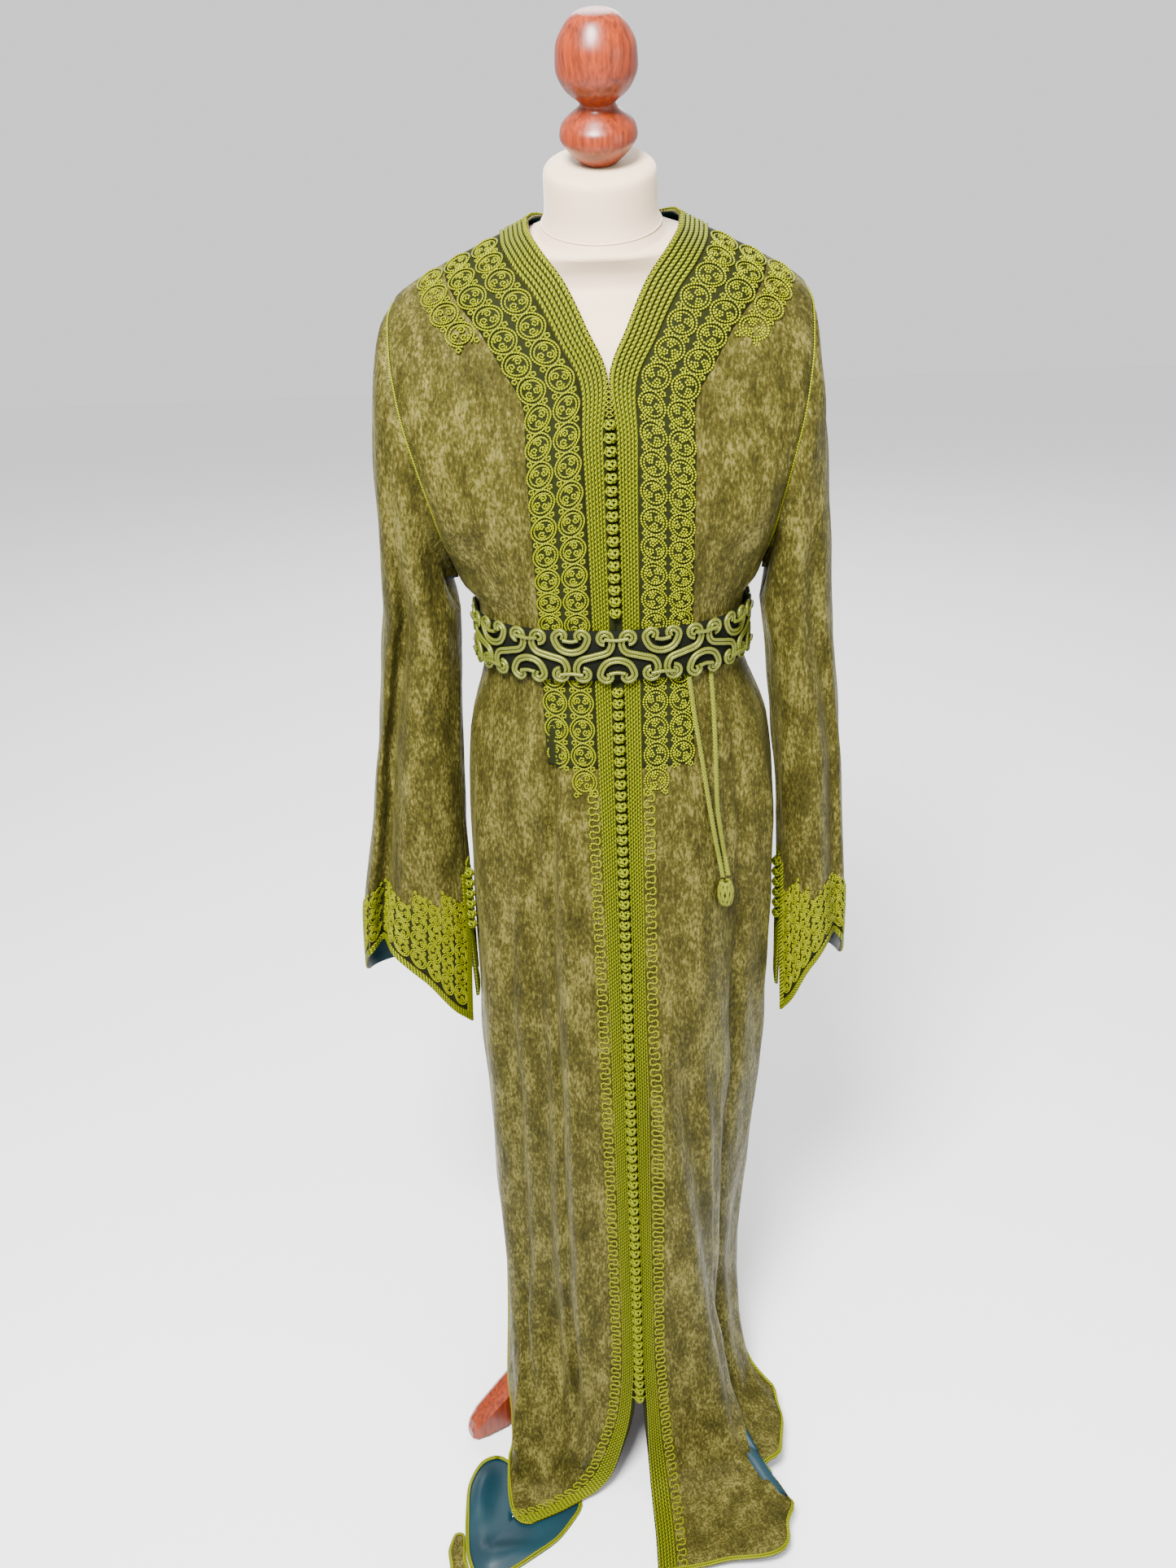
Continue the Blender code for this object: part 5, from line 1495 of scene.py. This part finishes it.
def make_belt():
    count = 360
    inner, normal, length = waist_ring(count, BELT_CLEAR)
    high = BELT_TOP - BELT_LOW
    heights = BELT_TOP - np.linspace(0.003, high - 0.003, 5)
    face = BELT_CLEAR + 0.0022
    outer_ring = waist_ring(count, face)[0]
    outer = np.array([np.column_stack([outer_ring, np.full(count, z)]) for z in heights])
    back = np.array([np.column_stack([inner, np.full(count, z)]) for z in heights])
    band = cloth_wall("belt_net", outer, back, [net], closed=True)
    pitch = length / BELT_REPEATS
    ring_map = {"down": np.arange(count + 1) * length / count,
                "across": np.linspace(0, high, 5),
                "points": np.array([[(*outer_ring[i % count], BELT_TOP - d) for d in np.linspace(0, high, 5)]
                                    for i in range(count + 1)]),
                "normals": np.array([[(*normal[i % count], 0.0)] * 5 for i in range(count + 1)])}
    chains = []

    def lay(path, lift, start):
        points, lifts = on_cloth(ring_map, (start + path[:, 0]) % length, path[:, 1], lift)
        chains.append((points, lifts, False))

    for number in range(BELT_REPEATS):
        start = pitch * number
        for path in belt_repeat(pitch, high):
            for gap in (-BELT_CORD, BELT_CORD):
                lay(beside(path, gap), BELT_CORD, start)
        for path in belt_bars(pitch, high):
            lay(path, BELT_CORD * 2.4, start)
    piece = sweep_cords("belt_cords", chains, BELT_CORD, satin_cord, sides=7)
    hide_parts("belt")


make_belt()

# %% [markdown]
# ## Dress form and stand

# %% Form
NECK_LEAN = math.radians(19.0)
NECK_FOOT = (-0.002, -0.004, 1.4100)
LEAN_BEHIND = 0.35
TORSO = """
z       half    front   behind  square lean
0.7400  0.1180 -0.0860  0.0800  2.2    0
0.7460  0.1260 -0.0920  0.0860  2.2    0
0.8200  0.1360 -0.1000  0.0960  2.2    0
0.9200  0.1340 -0.0990  0.0960  2.2    0
0.9800  0.1290 -0.0960  0.0890  2.2    0
1.0400  0.1290 -0.0970  0.0870  2.2    0
1.1000  0.1360 -0.1000  0.0890  2.2    0
1.1800  0.1500 -0.1010  0.0930  2.3    0
1.2400  0.1640 -0.0960  0.0930  2.4    0
1.2900  0.1760 -0.0820  0.0880  2.4    0
1.3200  0.1820 -0.0700  0.0800  2.3    0
1.3400  0.1860 -0.0560  0.0660  2.2    2
1.3560  0.1830 -0.0500  0.0600  2.1    4
1.3680  0.1660 -0.0460  0.0540  2.0    7
1.3800  0.1430 -0.0480  0.0520  2.0    10
1.3935  0.1150 -0.0530  0.0520  2.0    15
1.4076  0.0890 -0.0600  0.0530  2.0    19
"""
NECK = """
along   radius
-0.0020 0.0600
0.0030  0.0570
0.0100  0.0540
0.0220  0.0515
0.0500  0.0510
0.0560  0.0490
0.0590  0.0450
"""
FINIAL = """
along   radius
0.0594  0.0160
0.0700  0.0270
0.0820  0.0345
0.0900  0.0330
0.0990  0.0250
0.1060  0.0165
0.1090  0.0155
0.1120  0.0180
0.1220  0.0290
0.1380  0.0355
0.1540  0.0345
0.1680  0.0280
0.1780  0.0190
0.1800  0.0150
"""


def ring(half_x, front, behind, square, z, count):
    turn = np.linspace(0, 2 * math.pi, count, endpoint=False)
    cosine, sine = np.cos(turn), np.sin(turn)
    x = half_x * np.sign(cosine) * np.abs(cosine) ** (2 / square)
    depth = np.where(sine < 0, -front, behind)
    return np.stack([x, depth * np.sign(sine) * np.abs(sine) ** (2 / square), np.full(count, z)], axis=1)


def neck_ring(along, radius, count):
    turn = np.linspace(0, 2 * math.pi, count, endpoint=False)
    x, y = radius * np.cos(turn), radius * np.sin(turn)
    return np.stack([NECK_FOOT[0] + x,
                     NECK_FOOT[1] + y * math.cos(NECK_LEAN) - along * math.sin(NECK_LEAN),
                     NECK_FOOT[2] + y * math.sin(NECK_LEAN) + along * math.cos(NECK_LEAN)], axis=1)


def finer_table(table, steps):
    """A table with more rows, smoothly between the given ones."""
    places = np.arange(len(next(iter(table.values()))))
    wanted = np.linspace(0, places[-1], steps * places[-1] + 1)
    return {name: smooth(places, column, wanted) for name, column in table.items()}


def make_form():
    count = 72
    body, neck = finer_table(read_table(TORSO), 3), finer_table(read_table(NECK), 3)
    rings = []
    for z, half, front, behind, square, lean in zip(*(body[key] for key in body)):
        level = ring(half, front, behind, square, z, count)
        tip = np.where(level[:, 1] < 0, 1.0, LEAN_BEHIND)
        level[:, 2] += level[:, 1] * math.tan(math.radians(lean)) * tip
        level[level[:, 0] > 0, 0] *= float(narrowing(RIGHT, z))
        rings.append(level)
    rings += [neck_ring(a, r, count) for a, r in zip(neck["along"], neck["radius"])]
    piece = loft("form_jersey_cover", np.array(rings), jersey)
    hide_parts("form_torso")
    seam_points = neck_ring(0.0075, 0.0550, 90)
    seam_lift = unit(seam_points - np.array(NECK_FOOT))
    seam = sweep_cords("form_neck_seam", [(seam_points, seam_lift, True)], 0.0008, jersey)
    turned = finer_table(read_table(FINIAL), 5)
    rings = [neck_ring(a, r, 64) for a, r in zip(turned["along"], turned["radius"])]
    wood = loft("turned_finial", np.array(rings), mahogany)
    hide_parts("finial")


make_form()
for name in ("stand_pole", "stand_hub", "stand_leg_1", "stand_leg_2", "stand_leg_3"):
    node_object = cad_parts[name]
    node_object.data.materials.clear()
    node_object.data.materials.append(mahogany)
    node_object.data.shade_smooth()

# %% [markdown]
# ## Tie cords
#
# Two ends of a twisted silk rope hang from the belt and meet in one woven knot.

# %% Tie cords
TIE_DIAMETER = 0.0050
TIE_CLEAR = 0.0006
TIE_ROUTE_A = ((0.070, 1.0050), (0.074, 0.972), (0.081, 0.925), (0.088, 0.876), (0.0950, 0.832),
               (0.1017, 0.7942))
TIE_ROUTE_B = ((0.092, 1.0050), (0.094, 0.972), (0.0955, 0.925), (0.0965, 0.876), (0.1015, 0.832),
               (0.1073, 0.7952))
TIE_KNOT_CENTRE = (0.1045, 0.776)
TIE_KNOT_HALF = (0.0085, 0.0160)


def front_tree():
    points, faces = [], []
    for name in ("front_right", "embroidery_right"):
        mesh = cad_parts[name].data
        start = len(points)
        points += [vertex.co.copy() for vertex in mesh.vertices]
        faces += [[start + index for index in polygon.vertices] for polygon in mesh.polygons]
    return BVHTree.FromPolygons(points, faces)


def resting_y(tree, x, z, radius):
    """The y at which a ball comes to rest against the front of the skirt."""
    places = []
    for shift in np.linspace(-radius, radius, 9):
        for rise in np.linspace(-radius, radius, 5):
            depth = math.sqrt(max(0.0, radius ** 2 - shift ** 2 - rise ** 2))
            place, _, _, _ = tree.ray_cast(Vector((x + shift + SHIFT[0], -1, z + rise)), Vector((0, 1, 0)))
            if place is not None and depth > 0:
                places.append(place.y - depth)
    return min(places) - SHIFT[1]


def tie_path(tree, route, end_y, count=20):
    route = np.array(route)
    place = np.arange(len(route))
    wanted = np.linspace(0, len(route) - 1, count)
    x = smooth(place, route[:, 0], wanted)
    z = -smooth(place, -route[:, 1], wanted)
    y = np.array([resting_y(tree, a, b, TIE_DIAMETER / 2 + TIE_CLEAR) for a, b in zip(x, z)])
    y[-1] = end_y
    y[1:-1] = np.minimum(y[1:-1], (y[:-2] + y[2:]) / 2)
    return np.stack([x, y, z], axis=1)


def rope(name, path, diameter, strands=3, pitch=0.011):
    """Strands wound round a path, as swept cords."""
    length = np.concatenate([[0], np.cumsum(np.linalg.norm(np.diff(path, axis=0), axis=1))])
    wanted = np.arange(0, length[-1], 0.0009)
    middle = np.stack([smooth(length, path[:, axis], wanted) for axis in range(3)], axis=1)
    along = unit(np.gradient(middle, axis=0))
    side_way = unit(np.cross(along, [0, 1, 0]))
    out = unit(np.cross(side_way, along))
    reach, chains = diameter * 0.26, []
    for strand in range(strands):
        angle = 2 * math.pi * (wanted / pitch + strand / strands)
        push = side_way * np.cos(angle)[:, None] + out * np.sin(angle)[:, None]
        chains.append((middle + push * reach, push, False))
    return sweep_cords(name, chains, diameter * 0.27, rope_cord, sides=5), float(length[-1])


def make_ties():
    tree = front_tree()
    x, z = TIE_KNOT_CENTRE
    half_width, half_height = TIE_KNOT_HALF
    y = resting_y(tree, x, z, half_width + TIE_CLEAR)
    turn = np.linspace(0, 2 * math.pi, 260, endpoint=False)
    high = half_height * 0.80 * np.sin(9 * turn)
    swell = np.sqrt(np.clip(1 - (high / half_height) ** 2 * 0.6, 0, 1))
    reach = (half_width - 0.0019) * swell * (1 + 0.10 * np.cos(18 * turn))
    woven = np.stack([x + reach * np.cos(4 * turn), y + reach * np.sin(4 * turn), z + high], axis=1)
    lifts = unit(np.stack([np.cos(4 * turn), np.sin(4 * turn), 0 * turn], axis=1))
    knot = sweep_cords("tie_knot_woven", [(woven, lifts, True)], 0.0017, rope_cord, sides=5)
    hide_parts("tie_knot")
    for letter, route in (("a", TIE_ROUTE_A), ("b", TIE_ROUTE_B)):
        path = tie_path(tree, route, y)
        piece, length = rope("tie_rope_" + letter, path, TIE_DIAMETER)
        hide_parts("tie_cord_" + letter)
        print(f"tie {letter}: {length:.3f} m")


make_ties()

# %% [markdown]
# ## Piping on slits and hems
#
# Two thin lime cords run side by side down the slits and along the hem.

# %% Piping
SLIT_LEVEL = 14
PIPING_ROWS = (0.0008, 0.0034)


def edge_line(grid, normal, first, inset):
    """Down a panel's slit edge from the row first and back along its hem, a little in."""
    side_line = grid[first:, -1] + unit(grid[first:, -2] - grid[first:, -1]) * inset
    hem_line = grid[-1, ::-1] + unit(grid[-2, ::-1] - grid[-1, ::-1]) * inset
    side_line, hem_line = side_line[:-1], hem_line[1:]
    lift = np.concatenate([normal[first:-1, -1], normal[-1, ::-1][1:]])
    return np.concatenate([side_line, hem_line]) + lift * 0.0009, lift


for (side, face), name in PANEL_NAMES.items():
    first_row = int(np.argmax(np.array(panel_levels(side, face, FINER)) >= SLIT_LEVEL))
    grid = panel_grid(side, face)
    normal = panel_normals(grid, side, face)
    chains = [(*edge_line(grid, normal, first_row, inset), False) for inset in PIPING_ROWS]
    piece = sweep_cords("piping_" + name, chains, 0.0012, scroll_cord, sides=5)

# %% [markdown]
# ## The turned-back corner
#
# The lower corner of the left front lies on the floor turned over, so its teal lining
# shows, and past its edge a strip of the velvet side shows again.

# %% Turned-back corner
LINING_OUTLINE = ((-0.176, -0.160), (-0.150, -0.186), (-0.120, -0.206), (-0.082, -0.214), (-0.068, -0.232),
                  (-0.098, -0.279), (-0.149, -0.316), (-0.190, -0.336), (-0.206, -0.300), (-0.211, -0.262),
                  (-0.213, -0.204), (-0.199, -0.168))
BARE_PAST = (-0.170, -0.275)        # the front panel lies on the rest of the corner
TURNBACK_EDGE = ((-0.212, -0.268), (-0.208, -0.296), (-0.196, -0.334), (-0.206, -0.340), (-0.222, -0.318),
                 (-0.228, -0.290), (-0.222, -0.268))


def rounded_outline(outline, count):
    """Points along a closed outline, evenly spaced."""
    points = np.vstack([outline, outline[:1]])
    length = np.concatenate([[0], np.cumsum(np.linalg.norm(np.diff(points, axis=0), axis=1))])
    wanted = np.linspace(0, length[-1], count, endpoint=False)
    edge = np.stack([np.interp(wanted, length, points[:, axis]) for axis in range(2)], axis=1)
    for _ in range(4):
        edge = (np.roll(edge, 1, axis=0) + 2 * edge + np.roll(edge, -1, axis=0)) / 4
    return edge


def outline_piping(name, top):
    """Two cords round a piece that lies on the floor."""
    edge = top[0]
    inward = unit(top[1] - edge)
    lift = np.tile([0.0, 0.0, 1.0], (len(edge), 1))
    chains = [(edge + inward * inset + lift * 0.0009, lift, True) for inset in PIPING_ROWS]
    piece = sweep_cords(name, chains, 0.0012, scroll_cord, sides=5)


def floor_cloth(name, outline, height, materials, rings=10, count=72, seed=0.0):
    """A flat piece of cloth inside an outline, with low soft waves in its middle."""
    edge = rounded_outline(np.array(outline), count)
    middle = edge.mean(axis=0)
    grid = []
    for number in range(rings):
        share = 1 - number / (rings - 1) * 0.98
        flat = middle + (edge - middle) * share
        wave = np.array([noise.noise(Vector((x * 22 + seed, y * 22, 0))) for x, y in flat])
        bare = np.maximum(np.clip((BARE_PAST[0] - flat[:, 0]) / 0.02, 0, 1),
                          np.clip((BARE_PAST[1] - flat[:, 1]) / 0.02, 0, 1))
        lift = height + np.clip(wave + 0.3, 0, 1) * 0.012 * bare * min(1, (1 - share) * 4)
        grid.append(np.column_stack([flat, lift]))
    top = np.array(grid)
    low = top.copy()
    low[..., 2] = np.maximum(low[..., 2] - CLOTH, 0.0)
    return cloth_wall(name, top, low, materials, closed=True), top


piece, top = floor_cloth("lining_corner", LINING_OUTLINE, CLOTH, [lining])
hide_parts("lining_turnback")
strip_piece, strip_top = floor_cloth("velvet_corner", TURNBACK_EDGE, CLOTH, [velvet], seed=4.0)
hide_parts("hem_turnback")
outline_piping("lining_piping", top)
outline_piping("corner_piping", strip_top)

# %% [markdown]
# ## Floor and light
#
# A plain pale floor, a large soft light above and in front, and weaker ones around.

# %% Floor, world and lights
FLOOR_HALF = 8.0
floor_mesh = bpy.data.meshes.new("floor")
corners = [(x * FLOOR_HALF, y * FLOOR_HALF, 0) for x, y in ((-1, -1), (1, -1), (1, 1), (-1, 1))]
floor_mesh.from_pydata(corners, [], [(0, 1, 2, 3)])
paper, tree, shader = new_material("white_floor_paper", "#f4f4f4", 0.9)
floor_mesh.materials.append(paper)
floor = bpy.data.objects.new("floor", floor_mesh)
bpy.context.scene.collection.objects.link(floor)

world = bpy.data.worlds.new("studio")
bpy.context.scene.world = world
world.use_nodes = True
world.node_tree.nodes["Background"].inputs[0].default_value = hex_colour("#ffffff")
world.node_tree.nodes["Background"].inputs[1].default_value = 1.1

LIGHTS = (("key", (-0.35, -1.5, 2.75), 0.8, 300.0), ("fill_right", (1.8, -1.2, 1.4), 1.4, 14.0),
          ("back", (0.2, 3.2, 3.4), 2.6, 150.0))


def add_light(name, place, size, power, aim=(0.0, 0.0, 0.9)):
    data = bpy.data.lights.new(name, "AREA")
    data.shape, data.size, data.energy = "DISK", size, power
    light = bpy.data.objects.new(name, data)
    bpy.context.scene.collection.objects.link(light)
    light.location = place
    light.rotation_euler = (Vector(aim) - Vector(place)).to_track_quat("-Z", "Y").to_euler()
    return light


for entry in LIGHTS:
    add_light(*entry)

# %% Finish
bpy.data.objects.remove(one_knot, do_unlink=True)
bpy.context.view_layer.update()
